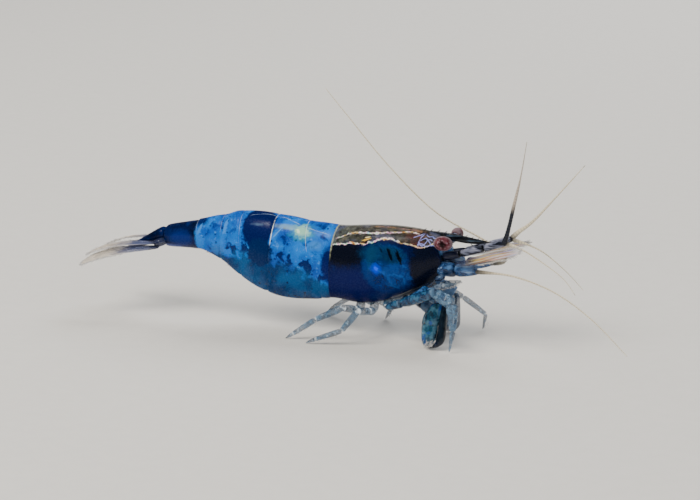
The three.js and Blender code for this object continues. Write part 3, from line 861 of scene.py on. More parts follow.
tailShape = {
    "segment": (9.86, 10.05, 10.3, 10.55, 10.8, 10.93, 11.0),  # stations of the last segment's rings
    "swell": (0.9, 0.99, 1.0, 1.0, 0.99, 0.95, 0.8),
}
tailPatches = (
    ((-10.25, 0.6, 6.0), (0.22, 1.4, 1.3), "#2a72c0", 2.0, 0.4, 0.6),
    ((-11.6, 0.9, 5.5), (0.9, 0.8, 0.6), "#011e62", 1.2, 0.4, 1.0),
    ((-12.5, 0.7, 4.85), (1.0, 0.9, 0.2), "#4a5ca8", 0.8, 0.5, 0.6),
)


def tailChitin():
    # the cuticle of the last segment and the telson: opaque navy pigment, blacker along the top
    material, add, space, folded = newMaterial("tailChitin", wetGloss)
    grain = add("noise", space, 1 / 0.3, 4)
    fine = add("noise", space, 1 / 0.09, 2)
    broad = add("noise", space, 1 / 1.2, 3)
    colour = paint(add, "#000828", (broad, 0.35, 0.65, "#001448"), (grain, 0.58, 0.72, 0.4, "#033680"))
    colour, _ = layPatches(add, colour, None, folded, grain, tailPatches)
    height = add("mixNumber", 0.4, grain, fine)
    return setSurface(material, add, colour, None, add("timesPlus", fine, 0.2, 0.18), (height, 0.02, 0.6))


def abdomen():
    chitin = abdomenChitin()
    for k in range(1, 6):
        plate = shellPlate(f"abdomenPlate{k}", abdomenShape, *plateEnds(k), abdomenShape["rimAndHighlight"][k - 1])
        finishPiece(f"abdomenPlate{k}", [plate], "abdomen_shell", chitin, f"abdomen_{k}")
    rings = [trunkRing(station, swell) for station, swell in zip(tailShape["segment"], tailShape["swell"])]
    last = extrudeRings("abdomenPlate6", rings[::-1], 20, stand=bodyStand)
    finishPiece("abdomenPlate6", [last], "abdomen_shell", tailChitin(), "abdomen_6")


abdomen()

print("flesh")

fleshShape = {
    # station, width and height as shares of the trunk there, and how far the middle is lowered
    "rings": (
        (0.15, 0.5, 0.5, 0.3), (0.6, 0.72, 0.66, 0.3), (1.3, 0.84, 0.74, 0.42), (2.2, 0.88, 0.78, 0.5),
        (3.2, 0.9, 0.8, 0.48), (4.2, 0.9, 0.78, 0.45), (5.0, 0.88, 0.78, 0.3), (6.0, 0.86, 0.76, -0.4),
        (7.0, 0.84, 0.74, -0.52), (8.0, 0.84, 0.76, -0.42), (9.0, 0.84, 0.8, -0.2), (9.9, 0.84, 0.84, 0.0),
        (10.3, 0.7, 0.7, 0.0),
    ),
}


def shrimpFlesh():
    # living muscle and gland seen through a clear cuticle: dark blue-grey, faintly fibred, wet but not shiny
    material, add, space, _ = newMaterial("shrimpFlesh", {"IOR": 1.3, "Roughness": 0.5})
    fibres = add("noise", add("mapping", space, (1.0, 3.0, 3.0)), 1 / 0.5, 4, 0.6)
    colour = paint(
        add,
        "#12528c",
        (add("axes", space)[0], -1.5, 1.5, "#06264a"),
        (add("noise", space, 1 / 1.4, 3), 0.42, 0.62, 0.7, "#050b18"),
        (fibres, 0.56, 0.72, 0.35, "#3f4c42"),
    )
    return setSurface(material, add, colour, relief=(fibres, 0.05, 0.6))


def bodyFlesh():
    rings = []
    for station, wide, high, drop in fleshShape["rings"]:
        x, y, z, halfWidth, halfHeight = trunkRing(station, 1, -drop)
        rings.append((x, y, z, halfWidth * wide, halfHeight * high))
    flesh = extrudeRings("bodyFlesh", rings[::-1], 24, stand=bodyStand)
    finishPiece("bodyFlesh", [flesh], "soft_flesh", shrimpFlesh(), "thorax")


bodyFlesh()

print("tail fan")

fan = {
    "root": Vector((-13.2, 0, axisHeight + 0.85)),
    "telsonDroop": 24,
    # distance back, height, half width, half height
    "telson": (
        (-0.35, 0.1, 0.5, 0.5), (0.1, 0.1, 0.62, 0.52), (1.2, 0.09, 0.54, 0.36), (2.4, 0.07, 0.4, 0.23),
        (3.4, 0.03, 0.3, 0.14), (3.9, 0.0, 0.22, 0.08), (4.05, 0.0, 0.1, 0.04),
    ),
    # length, half width, widest at, tip's share of the width
    "inner": (5.2, 0.6, 0.5, 0.3),
    "outer": (5.6, 0.7, 0.55, 0.4),
    "stand": {"inner": (0.0, 0.84, -0.42, 9), "outer": (0.05, 0.88, -0.7, 17)},  # x, y, z, turn outwards
    "droop": 1.5,
    "roof": {"inner": 4, "outer": 12},  # how far each blade slopes down outwards
    "arch": 0.8,  # how far a tip hangs under its root's line
    "bend": 3.4,  # and how late the blade bends down to it
    "thickness": 0.06,
    "fringe": (120, 0.28, 0.45),  # bristles on each blade, their length, and how far along it they start
    # the stem that carries both blades: where it starts and ends beside the root, its radii and its profile
    "stem": (
        (0.35, 0.42, -0.3), (-0.45, 0.86, -0.55), (0.34, 0.3), ((0, 0.7), (0.3, 1.0), (0.8, 1.0), (1, 0.6)),
    ),
    # pairs of spines on the telson: distance back, y, height, lean in degrees, size
    "spines": (
        (1.3, 0.28, 0.3, 18, 1.0), (1.85, 0.255, 0.25, 18, 1.0), (2.4, 0.23, 0.2, 18, 1.0),
        (2.95, 0.205, 0.15, 18, 1.0), (3.5, 0.18, 0.1, 18, 1.0),
        (4.0, 0.18, 0.0, 0, 1.6), (4.05, 0.08, 0.0, 0, 1.6),
    ),
}


def leafHalfWidth(share, half, widest, tip):
    # a leaf's outline: narrow at its root, widest at a given share, then drawn in to a blunt tip
    if share < widest:
        return half * (0.35 + 0.65 * math.sin(share / widest * math.pi / 2))
    t = (share - widest) / (1 - widest)
    return half * (tip + (1 - tip) * math.sqrt(max(1 - t**2.6, 0)))


def leafBlade(leaf, thickness, stand, arch=0.0):
    # a thin lens-shaped blade with a raised mid rib, bent down towards its tip and then stood in its place
    length, half, widest, tip = leaf
    rings = []
    steps = 12
    for i in range(steps + 1):
        share = 1 - (1 - i / steps) ** 1.25
        rings.append((share * length, 0, 0, leafHalfWidth(share, *leaf[1:]), thickness * (1.1 - 0.6 * share)))
    rings.append((length * 1.012, 0, 0, half * tip * 0.6, thickness * 0.25))
    ribRings = []
    for share, size in ((0.0, 0.11), (0.4, 0.09), (0.75, 0.06), (0.92, 0.03)):
        ribRings.append((length * share, 0, thickness * 0.75 * (1 - 0.3 * share), size, size))
    blade = extrudeRings("leafBlade", rings, 14)
    rib = extrudeRings("rib", ribRings, 8, tone=0.4)
    for part, most in ((blade, 1.0), (rib, 0.0)):
        rim = []  # 1 at the blade's edge and 0 along its middle
        for vertex in part.data.vertices:
            share = max(vertex.co.x / mm / length, 0)
            wide = leafHalfWidth(min(share, 1), half, widest, tip)
            rim.append(most * min(abs(vertex.co.y) / mm / wide, 1))
            vertex.co.z -= arch * share ** fan["bend"] * mm
        addValues(part.data, "rim", rim)
    return place(joinPieces("leafBlade", [blade, rib]), stand)


def fanChitin():
    # clear cuticle of the tail blades: smoky lilac at the root, milky and cream at the tips, ribbed along
    finish = {"IOR": 1.35, "Roughness": 0.3, "Coat Weight": 0.2, "Coat Roughness": 0.15}
    material, add, space, _ = newMaterial("fanChitin", finish)
    rays = add("noise", add("mapping", space, (0.35, 5.0, 5.0)), 1 / 0.8, 2)
    along = add("along")
    shifted = add("timesPlus", add("noise", space, 1 / 0.4, 4), 0.4, along)
    rim = add("softStep", add("rim"), 0.86, 0.97)
    colour = paint(
        add,
        "#131c34",
        (shifted, 0.2, 0.42, "#5c6488"),
        (shifted, 0.55, 0.95, "#d9cfbf"),
        (rays, 0.54, 0.68, 0.5, "#34405c"),
        (rays, 0.4, 0.3, 0.5, "#e8dcd8"),
        (along, 0.16, 0.0, "#262d4a"),
        # the thickened rim catches the light
        (add("times", rim, add("softStep", along, 0.1, 0.5)), "#efe6da"),
    )
    stiff = add("timesPlus", rays, 0.3, 0.7)
    cover = add("timesPlus", rays, 0.5, 0.34)
    cover = add("mixNumber", add("softStep", shifted, 0.1, 0.55), stiff, cover)
    cover = add("mixNumber", rim, cover, 0.85)
    return setSurface(material, add, colour, cover, relief=(rays, 0.02, 0.7))


def setaChitin():
    # setae: hair-fine hollow bristles of clear cuticle, pale where light catches them
    material, add, space, _ = newMaterial("setaChitin", {"IOR": 1.35, "Roughness": 0.4})
    colour = paint(add, "#e0dace", (add("noise", space, 1 / 0.5, 2), "#b4b8c4"))
    return setSurface(material, add, colour, add("softStep", add("along"), 1.1, 0.0, 0.7))


bristleChitin = setaChitin()


def modelSeta(thick=0.03):
    # one bristle, a millimetre long along +x and curved a little upwards
    rings = ((0, 0, 0, 1), (0.3, 0, 0.015, 0.85), (0.65, 0, 0.07, 0.55), (1.0, 0, 0.17, 0.12))
    return extrudeRings("seta", [(x, y, z, thick * size, thick * size) for x, y, z, size in rings], 4, 0)


def plantSetae(name, slot, roots):
    # copies of one bristle joined in one mesh. OFBake keeps a patch for each at its root's place.
    patch = 0.003
    points, faces, uvs, alongs = [], [], [], []
    seta = modelSeta()
    template = [v.co.copy() for v in seta.data.vertices]
    templateFaces = [tuple(p.vertices) for p in seta.data.polygons]
    bpy.data.objects.remove(seta)
    for matrix, u, v in roots:
        first = len(points)
        points.extend(matrix @ co for co in template)
        for face in templateFaces:
            faces.append([first + i for i in face])
            for i in face:
                uvs.append((u + patch * template[i].x / mm, v + patch * (template[i].y / mm / 0.06 + 0.5)))
        alongs.extend(co.x / mm for co in template)
    data = bpy.data.meshes.new(name)
    data.from_pydata(points, [], faces)
    bake = data.uv_layers.new(name="OFBake")
    for i, uv in enumerate(uvs):
        bake.data[i].uv = uv
    addValues(data, "along", alongs)
    finishPiece(name, [newObject(name, data)], slot, bristleChitin)


def fringeRoots(matrix, leaf, count, length, fromShare, uvBox, arch=0.0):
    # bristles round a blade's tip half, fanning outwards; matrix stands the blade
    long, half, widest, tip = leaf
    blunt = 0.22  # the share of the bristles that stand across the blunt tip
    bend = fan["bend"]
    roots = []
    for i in range(count):
        t = i / (count - 1) * 2 - 1
        sign = 1 if t >= 0 else -1
        around = abs(t)
        if around < blunt:
            share, y = 1.0, sign * half * tip * around / blunt
        else:
            share = 1 - (around - blunt) / (1 - blunt) * (1 - fromShare)
            y = sign * leafHalfWidth(share, half, widest, tip)
        turn = math.atan2(y * 0.9, 0.55 + (1 - share) * 1.2)
        size = length * (0.75 + 0.25 * share) * rng.uniform(0.85, 1.1)
        lean = Matrix.Rotation(turn + rng.uniform(-0.06, 0.06), 4, "Z")
        lean = lean @ Matrix.Rotation(rng.uniform(-0.1, 0.1), 4, "Y")
        dip = Matrix.Rotation(arch * bend * share ** (bend - 1) / long, 4, "Y")
        root = Vector((share * long, y * 0.97, -arch * share**bend)) * mm
        stand = matrix @ Matrix.Translation(root) @ dip @ lean
        stand = stand @ Matrix.Rotation(rng.uniform(0, 6.28), 4, "X") @ Matrix.Diagonal((size, 1, 1, 1))
        across = (share - fromShare) / (1 - fromShare + 1e-6)
        roots.append((stand, *inBox(uvBox, across, 0.5 + y / half / 2)))
    return roots


def fanStand(which, sign):
    # where a blade stands: turned back and outwards, sloping down to the side and drooping
    x, y, z, turn = fan["stand"][which]
    heading = Matrix.Rotation(math.radians(180 - sign * turn), 4, "Z")
    roof = Matrix.Rotation(math.radians(-sign * fan["roof"][which]), 4, "X")
    droop = Matrix.Rotation(math.radians(-fan["droop"]), 4, "Y")
    return Matrix.Translation(at(*(fan["root"] + Vector((x, y * sign, z))))) @ droop @ roof @ heading


def telson():
    root = fan["root"]
    droop = math.radians(fan["telsonDroop"])
    back = Vector((-math.cos(droop), 0, -math.sin(droop)))
    rings = [(x, 0, z, wide, high) for x, z, wide, high in fan["telson"]]
    parts = [extrudeRings("telsonBlade", rings, 14, stand=facing(root, root + back))]
    # short spines in two rows on its back, and stouter ones at its end
    spineRings = [(0, 0, 0, 0.035, 0.035), (0.12, 0, 0.01, 0.028, 0.028), (0.28, 0, 0.04, 0.006, 0.006)]
    spine = extrudeRings("spine", spineRings, 6, 0, 1.0)
    for distance, y, z, lean, size in fan["spines"]:
        for _, sign in bothSides:
            start = root + back * distance + Vector((0, y * sign, z))
            stand = facing(start, start + back + Vector((0, 0.15 * sign, math.tan(math.radians(lean)))))
            parts.append(copyOf(spine, stand @ Matrix.Scale(size, 4)))
    bpy.data.objects.remove(spine)
    finishPiece("telsonBlade", parts, "abdomen_shell", tailChitin(), "telson")


def tailFan():
    clear = fanChitin()
    roots = []
    for column, (side, sign) in enumerate(bothSides):
        # the short stem that carries both blades, as smoky as their roots
        hip, foot = (fan["root"] + Vector(outwards(end, sign)) for end in fan["stem"][:2])
        stem = joint(hip, foot, *fan["stem"][2:])
        for value in stem.data.attributes["along"].data:
            value.value = 0.0
        for row, which in enumerate(("inner", "outer")):
            stand = fanStand(which, sign)
            parts = [leafBlade(fan[which], fan["thickness"], stand, fan["arch"])]
            parts += [stem] if which == "inner" else []
            finishPiece(f"uropodBlade_{which}_{side}", parts, "fin_blade", clear, f"uropod_{which}_{side}")
            uvBox = (0.05 + 0.5 * column, 0.05 + 0.5 * row, 0.4, 0.4)
            roots += fringeRoots(stand, fan[which], *fan["fringe"], uvBox, fan["arch"])
    plantSetae("tailFringe", "fin_blade", roots)


telson()
tailFan()

print("head")

# heights are over the trunk's axis, y is measured outwards from the mirror plane
head = {
    # x, y, z and radius along the eye's stalk
    "stalk": (
        (7.3, 0.35, 1.75, 0.26), (7.8, 0.7, 1.98, 0.27), (8.02, 0.98, 2.16, 0.33), (8.14, 1.2, 2.27, 0.4),
    ),
    "antennule": ((7.7, 0.46, 1.2), (8.9, 0.52, 1.48), (10.6, 0.6, 2.05), (12.15, 0.7, 2.56)),
    "antennuleRadii": (0.32, 0.27, 0.27, 0.24),
    "antennaBase": ((6.9, 0.36, 0.3), (8.75, 1.06, 0.5), (10.45, 1.36, 0.57)),
    "antennaRadii": (0.42, 0.56, 0.22),
    "scale": (4.7, 0.64, 0.6, 0.35),  # length, half width, widest at, tip's share of the width
    "scaleRoot": (8.9, 1.58, 0.98),
    "scaleRise": 16,
    "scaleTurn": 4,
    "scaleShare": {"right": 1.0, "left": 0.86},  # the left one is worn shorter
    "scaleRoof": 25,  # how far it slopes down outwards
    "scaleThickness": 0.06,
    "scaleFringe": (90, 0.4, 0.4),  # bristles, their length, and how far along it they start
    "maxilliped": ((7.0, 0.42, -1.0), (7.6, 0.5, -0.86), (8.2, 0.48, -0.74), (8.62, 0.42, -0.62)),
    "maxillipedRadii": (0.24, 0.22, 0.17, 0.08),
    "maxillipedBristles": (40, 0.22, 70),  # how many, how long, how far round, in degrees
    # the upper lip and the brow, as rings, then the jaws: y, z, reach and radius
    "lip": (
        (7.2, 0, 0.5, 0.5, 0.5), (7.7, 0, 0.42, 0.62, 0.5), (8.2, 0, 0.4, 0.5, 0.42),
        (8.6, 0, 0.42, 0.3, 0.26), (8.72, 0, 0.44, 0.12, 0.1),
    ),
    "brow": (
        (7.1, 0, 1.5, 0.7, 0.6), (7.6, 0, 1.55, 0.72, 0.5),
        (8.0, 0, 1.6, 0.5, 0.32), (8.2, 0, 1.62, 0.2, 0.14),
    ),
    "jaws": ((0.3, -0.05, 1.2, 0.26), (0.46, -0.4, 0.6, 0.24), (0.3, -0.7, 0.4, 0.22)),
    "jawRoot": (7.1, 1.3, 0.32),  # how far ahead, how much wider set than the tips, how far they rise
}
limbProfile = ((0, 0.66), (0.07, 0.88), (0.22, 1.03), (0.6, 1.0), (0.88, 0.93), (0.96, 0.98), (1, 0.72))
baseProfile = ((0, 0.7), (0.14, 0.95), (0.45, 1.06), (0.8, 1.02), (0.94, 0.94), (1, 0.74))
stoutProfile = ((0, 0.8), (0.06, 0.97), (0.3, 1.03), (0.7, 1.0), (0.94, 0.97), (1, 0.8))
jawProfile = ((0, 0.8), (0.25, 1.1), (0.6, 1.0), (0.85, 0.75), (1, 0.3))
scaleTints = (
    (0.34, "#565096"), (0.42, "#8e88b0"), (0.48, "#c8c4c6"), (0.53, "#b87a68"), (0.59, "#bca65c"),
    (0.66, "#c8bca4"),
)


def eyeCornea():
    # a compound eye: hundreds of clear facets under one glossy skin, wine red, with the dark spot
    # that such an eye shows where it is looked straight into
    finish = {"IOR": 1.3, "Roughness": 0.3, "Specular IOR Level": 0.35}
    material, add, space, folded = newMaterial("eyeCornea", finish)
    grain = add("noise", space, 1 / 0.14, 3)
    spot = add("distance", folded, eye["dotAt"])
    colour = paint(
        add,
        "#421219",
        (add("noise", space, 1 / 0.3, 3), 0.35, 0.68, "#6e3e48"),
        (grain, 0.5, 0.68, 0.55, "#8f8086"),
        (spot, 0.46, 0.72, 0.75, "#7c6d73"),
        (add("timesPlus", grain, 0.5, spot), 0.6, 0.36, "#100305"),
        (add("axes", folded)[1], 1.3, 1.14, "#3a141d"),
    )
    facets = add("cells", space, eye["facets"], 0.3)["Distance"]
    return setSurface(material, add, colour, relief=(facets, 0.006, 0.5))


def headChitin():
    # cuticle of the head's limbs: smoky grey over dark pigment, near black along edges and at joints
    finish = {"IOR": 1.3, "Roughness": 0.28, "Coat Weight": 0.15, "Coat Roughness": 0.1}
    material, add, space, _ = newMaterial("headChitin", finish)
    grain = add("noise", space, 1 / 0.28, 4, 0.65)
    streaks = add("noise", add("mapping", space, (0.5, 3.0, 3.0)), 1 / 0.5, 3)
    along = add("along")
    ends = add("larger", add("softStep", along, 0.08, 0.0), add("softStep", along, 0.9, 0.98))
    colour = paint(
        add,
        "#0c1120",
        (streaks, 0.38, 0.58, "#74798e"),
        (streaks, 0.56, 0.7, 0.7, "#b8b6c4"),
        (add("tone"), 0.2, 0.8, 0.9, "#060d2a"),
        (ends, "#05070f"),
    )
    return setSurface(material, add, colour, add("timesPlus", grain, 0.3, 0.78), None, (grain, 0.02, 0.6))


def baseChitin():
    # cuticle of the antennas' stout base joints: clear mid blue with darker cells and pale streaks
    finish = {"IOR": 1.3, "Roughness": 0.26, "Coat Weight": 0.15, "Coat Roughness": 0.1}
    material, add, space, _ = newMaterial("baseChitin", finish)
    grain = add("noise", space, 1 / 0.55, 4, 0.6)
    pale = add("softStep", add("tone"), 0.2, 0.9)
    colour = paint(
        add,
        "#16345f",
        (grain, 0.4, 0.62, "#4a709f"),
        (add("noise", add("mapping", space, (0.3, 2.5, 2.5)), 1 / 0.7, 2), 0.53, 0.68, 0.75, "#9ab4d4"),
        (add("noise", space, 1 / 1.0, 2), 0.56, 0.68, 0.8, "#03102e"),
        (pale, paint(add, "#5d7488", (grain, 0.42, 0.62, "#a7b6c2"))),
    )
    dense = add("timesPlus", grain, 0.3, 0.72)
    cover = add("mixNumber", pale, dense, add("timesPlus", grain, 0.5, 0.25))
    return setSurface(material, add, colour, cover, relief=(grain, 0.02, 0.6))


def scaleChitin():
    # the antennal scale: a clear leaf of cuticle whose thin layers throw pale rose, straw and lilac
    finish = {"IOR": 1.4, "Roughness": 0.22, "Coat Weight": 0.2, "Coat Roughness": 0.1}
    material, add, _, folded = newMaterial("scaleChitin", finish)
    turned = add("mapping", folded, None, (0, math.radians(head["scaleRise"]), 0))
    fibres = add("mapping", turned, (0.22, 4.0, 5.5))
    rays = add("noise", fibres, 1 / 0.8, 2)
    along = add("along")
    colour = paint(
        add,
        add("ramp", add("noise", fibres, 1 / 1.5, 1), stops=scaleTints),
        (rays, 0.56, 0.44, 0.8, "#343a50"),
        (along, 0.45, 0.1, "#2c3350"),
        (along, 0.82, 1.0, 0.4, "#d8d8dc"),
    )
    cover = add("timesPlus", add("softStep", rays, 0.4, 0.6), 0.6, 0.3)
    cover = add("mixNumber", add("softStep", along, 0.05, 0.4), 0.35, cover)
    return setSurface(material, add, colour, cover, relief=(rays, 0.02, 0.8))


def eyes(sign, side, limb):
    x, y, z = eye["centre"]
    centre = at(x + eye["shift"][side], y * sign, z)
    size = {"segments": 40, "ring_count": 24, "radius": 1}
    ball = startFrom(bpy.ops.mesh.primitive_uv_sphere_add, "ball", location=centre, **size)
    ball.scale = Vector(eye["radii"][side]) * mm
    ball.rotation_euler = (0, 0, math.radians(eye["turn"][side]) * sign)
    finishPiece(f"eyeCornea_{side}", [ball], "eye", eyeCornea(), f"eye_{side}")
    # the stalk swells to a cup round the cornea
    size = eye["radii"][side][2] / eye["radii"]["right"][2]
    rings = []
    for k, (x, y, z, radius) in enumerate(head["stalk"]):
        rings.append((overAxis((x + eye["shift"][side] * k / 3, y, z), sign), radius * size))
    cup = ((0, 0.85), (0.2, 1), (0.85, 1), (1, 0.8))
    pairs = zip(rings, rings[1:])
    parts = [joint(start, end, (thick, thin), cup, sides=14) for (start, thick), (end, thin) in pairs]
    finishPiece(f"eyeStalk_{side}", parts, "head_limb", limb, f"eyestalk_{side}")


def chain(points, radii, sign, profile, tones, flat=1.0):
    # the joints of a limb, each a piece of its own shape, in one list
    ends = [overAxis(point, sign) for point in points]
    parts = []
    for i, tone in enumerate(tones):
        parts.append(joint(ends[i], ends[i + 1], radii[i : i + 2], profile, tone, flat))
    return parts


def limbBristles(points, radii, sign, count, length, spread, uvBox, leanForward=0.5):
    # bristles along the underside of a limb, in the order of its length
    clearance = 0.1  # none comes nearer to the floor
    roots = []
    for i in range(count):
        share = (i + 0.5) / count
        before, after = (smoothAt(points, spot) for spot in (max(share - 0.03, 0), min(share + 0.03, 1)))
        ahead = Vector(after) - Vector(before)
        ahead.y *= sign
        start = Vector(overAxis(smoothAt(points, share), sign))
        side = Vector((0, 0, 1)).cross(ahead.normalized()).normalized()
        up = ahead.normalized().cross(side)
        angle = math.radians(180 + rng.uniform(-spread, spread))
        out = (side * math.sin(angle) + up * math.cos(angle)).normalized()
        heading = (out + ahead.normalized() * (leanForward + rng.uniform(-0.1, 0.2))).normalized()
        root = start + out * smoothNumber(radii, share) * 0.8
        stand = facing(root, root + heading, rng.uniform(0, 360))
        size = length * rng.uniform(0.7, 1.1)
        if (root + heading * size).z < clearance:
            continue
        patch = inBox(uvBox, share, rng.random())
        roots.append((stand @ Matrix.Diagonal((size, 0.8, 0.8, 1)), *patch))
    return roots


def mouthParts(material):
    # upper lip, jaws and the small limbs over them, which close the front of the head
    parts = []
    for name in ("lip", "brow"):
        rings = [(x, y, axisHeight + z, wide, high) for x, y, z, wide, high in head[name]]
        parts.append(extrudeRings(name, rings, 14, stand=bodyStand))
    for _, sign in bothSides:
        for y, z, reach, radius in head["jaws"]:
            x, wider, rise = head["jawRoot"]
            start = (x, y * wider * sign, axisHeight + z)
            end = (x + reach, y * sign, axisHeight + z + rise)
            parts.append(joint(start, end, (radius, radius * 0.7), jawProfile, 0.3, 0.8))
    finishPiece("mouthParts", parts, "head_limb", material, "mouthparts")


def buildHead():
    grey, blue, clear = headChitin(), baseChitin(), scaleChitin()
    roots, mouthRoots = [], []
    for column, (side, sign) in enumerate(bothSides):
        eyes(sign, side, grey)
        parts = chain(head["antennule"], head["antennuleRadii"], sign, stoutProfile, (1.0, 0.0, 0.0))
        finishPiece(f"antennuleStem_{side}", parts, "head_limb", grey, f"antennule_{side}")
        parts = chain(head["antennaBase"], head["antennaRadii"], sign, baseProfile, (0.0, 0.2), 0.86)
        finishPiece(f"antennaBase_{side}", parts, "head_limb", blue, f"antenna_base_{side}")
        parts = chain(head["maxilliped"], head["maxillipedRadii"], sign, limbProfile, (0.6, 0.8, 1.0))
        finishPiece(f"maxillipedLimb_{side}", parts, "head_limb", blue, f"maxilliped_{side}")
        root = Vector(overAxis(head["scaleRoot"], sign))
        rise, turn = math.radians(head["scaleRise"]), math.radians(head["scaleTurn"]) * sign
        run = Vector((math.cos(rise) * math.cos(turn), math.cos(rise) * math.sin(turn), math.sin(rise)))
        leaf = (head["scale"][0] * head["scaleShare"][side], *head["scale"][1:])
        stand = facing(root, root + run, -sign * head["scaleRoof"])
        blade = leafBlade(leaf, head["scaleThickness"], stand)
        finishPiece(f"antennaScale_{side}", [blade], "fin_blade", clear, f"antenna_scale_{side}")
        left = 0.05 + 0.5 * column
        roots += fringeRoots(stand, leaf, *head["scaleFringe"], (left, 0.05, 0.4, 0.4))
        box = (left, 0.55, 0.4, 0.4)
        mouthRoots += limbBristles(
            head["maxilliped"], head["maxillipedRadii"], sign, *head["maxillipedBristles"], box
        )
    mouthParts(blue)
    plantSetae("scaleFringe", "fin_blade", roots)
    plantSetae("mouthBristles", "head_limb", mouthRoots)


buildHead()

print("feelers")

# x, y and height over the axis, from root to tip, y outwards for the side named, and the radii along them
feelerPaths = {
    "antennule_outer_right": (
        (12.0, 0.74, 2.5), (12.2, 0.79, 2.95), (12.45, 0.82, 3.9), (12.7, 0.85, 5.0), (13.2, 0.9, 7.16),
        (13.6, 0.95, 9.5),
    ),
    "antennule_inner_right": (
        (12.2, 0.62, 2.5), (13.0, 0.8, 2.3), (14.0, 1.02, 1.98), (16.4, 1.8, 0.85), (17.5, 2.22, -0.2),
    ),
    "antennule_outer_left": (
        (12.1, 0.74, 2.6), (12.5, 0.9, 3.0), (13.4, 1.25, 3.75), (14.8, 1.85, 5.4), (16.5, 2.62, 7.5),
    ),
    "antennule_inner_left": (
        (12.2, 0.62, 2.5), (13.2, 0.8, 2.2), (14.3, 1.05, 1.65), (15.7, 1.5, 0.4), (16.75, 1.92, -0.85),
    ),
    "antenna_right": (
        (10.35, 1.38, 0.57), (13.3, 2.4, 0.75), (16.6, 4.0, 0.35), (19.8, 6.0, -0.7), (22.85, 8.24, -2.24),
    ),
    "antenna_left": (
        (10.35, 1.4, 0.54), (11.0, 2.3, 0.5), (10.7, 3.05, 0.95), (9.0, 3.1, 1.85),
        (5.7, 3.15, 3.4), (2.1, 3.7, 6.2), (-1.45, 4.7, 9.4), (-3.22, 5.32, 10.95),
    ),
}
innerRadii = (0.15, 0.07, 0.05, 0.035, 0.028, 0.018)
antennaRadii = (0.17, 0.085, 0.07, 0.06, 0.055, 0.05, 0.045, 0.04, 0.034, 0.024)
feelerRadii = {
    "antennule_outer_right": (0.2, 0.15, 0.14, 0.11, 0.05, 0.035, 0.022),
    "antennule_outer_left": (0.2, 0.12, 0.08, 0.055, 0.04, 0.022),
    "antennule_inner_right": innerRadii,
    "antennule_inner_left": innerRadii,
    "antenna_right": antennaRadii,
    "antenna_left": antennaRadii,
}
ringSpacing = {"antennule": 0.2, "antenna": 0.24}


def feelerChitin(name, dark, pale, darkUntil):
    # a whip of short rings: smoky at its thick root, straw-clear along the rest, a ring every 0.2 mm or so
    material, add, space, _ = newMaterial(name, {"IOR": 1.35, "Roughness": 0.3})
    rings = add("rings")
    shifted = add("timesPlus", add("noise", space, 1 / 0.4, 3), 0.06, add("along"))
    clearer = (shifted, darkUntil, darkUntil + 0.12, pale)
    colour = paint(add, dark, clearer, (rings, 0.35, 0.0, 0.5, "#4a4440"))
    return setSurface(material, add, colour, relief=(rings, 0.01, 0.8))


def whip(name, points, radii, sign, spacing):
    # a tapering whip along a smooth path, drawn as a bevelled curve and then made a mesh
    samples = 60
    waist = 0.86  # how thin it is between two rings
    path = [Vector(overAxis(smoothAt(points, i / samples), sign)) for i in range(samples + 1)]
    run = [0.0]
    for before, after in zip(path, path[1:]):
        run.append(run[-1] + (after - before).length)
    steps = int(run[-1] / spacing * 2)
    curve = bpy.data.curves.new(name, "CURVE")
    curve.dimensions = "3D"
    curve.bevel_depth = 1.0 * mm
    curve.bevel_resolution = 2
    curve.use_fill_caps = True
    curve.resolution_u = 1
    line = curve.splines.new("POLY")
    line.points.add(steps)
    k = 0
    for i, point in enumerate(line.points):
        distance = run[-1] * i / steps
        while k < len(run) - 2 and run[k + 1] < distance:
            k += 1
        t = (distance - run[k]) / (run[k + 1] - run[k])
        point.co = (*at(*path[k].lerp(path[k + 1], t)), 1)
        point.radius = smoothNumber(radii, i / steps) * (1.0 if i % 2 else waist)
    activate(newObject(name, curve))
    bpy.ops.object.convert(target="MESH")
    piece = bpy.context.object
    count = len(piece.data.vertices)
    ringOf = [min(i // (count // (steps + 1)), steps) for i in range(count)]
    addValues(piece.data, "along", [ring / steps for ring in ringOf])
    addValues(piece.data, "rings", [ring % 2 for ring in ringOf])
    return piece


def feelers():
    smoky = feelerChitin("smokyFeeler", "#0b1422", "#b3a798", 0.36)
    straw = feelerChitin("strawFeeler", "#4b4a48", "#d4c9ae", 0.04)
    for name, points in feelerPaths.items():
        sign = 1 if name.endswith("left") else -1
        kind = name.split("_")[0]
        piece = whip(name, points, feelerRadii[name], sign, ringSpacing[kind])
        nodes = (f"{name}_1", f"{name}_2") if kind == "antenna" else (name,)
        chitin = smoky if name == "antennule_outer_right" else straw
        finishPiece(f"{name}_whip", [piece], "feeler", chitin, *nodes)


feelers()

print("limbs")

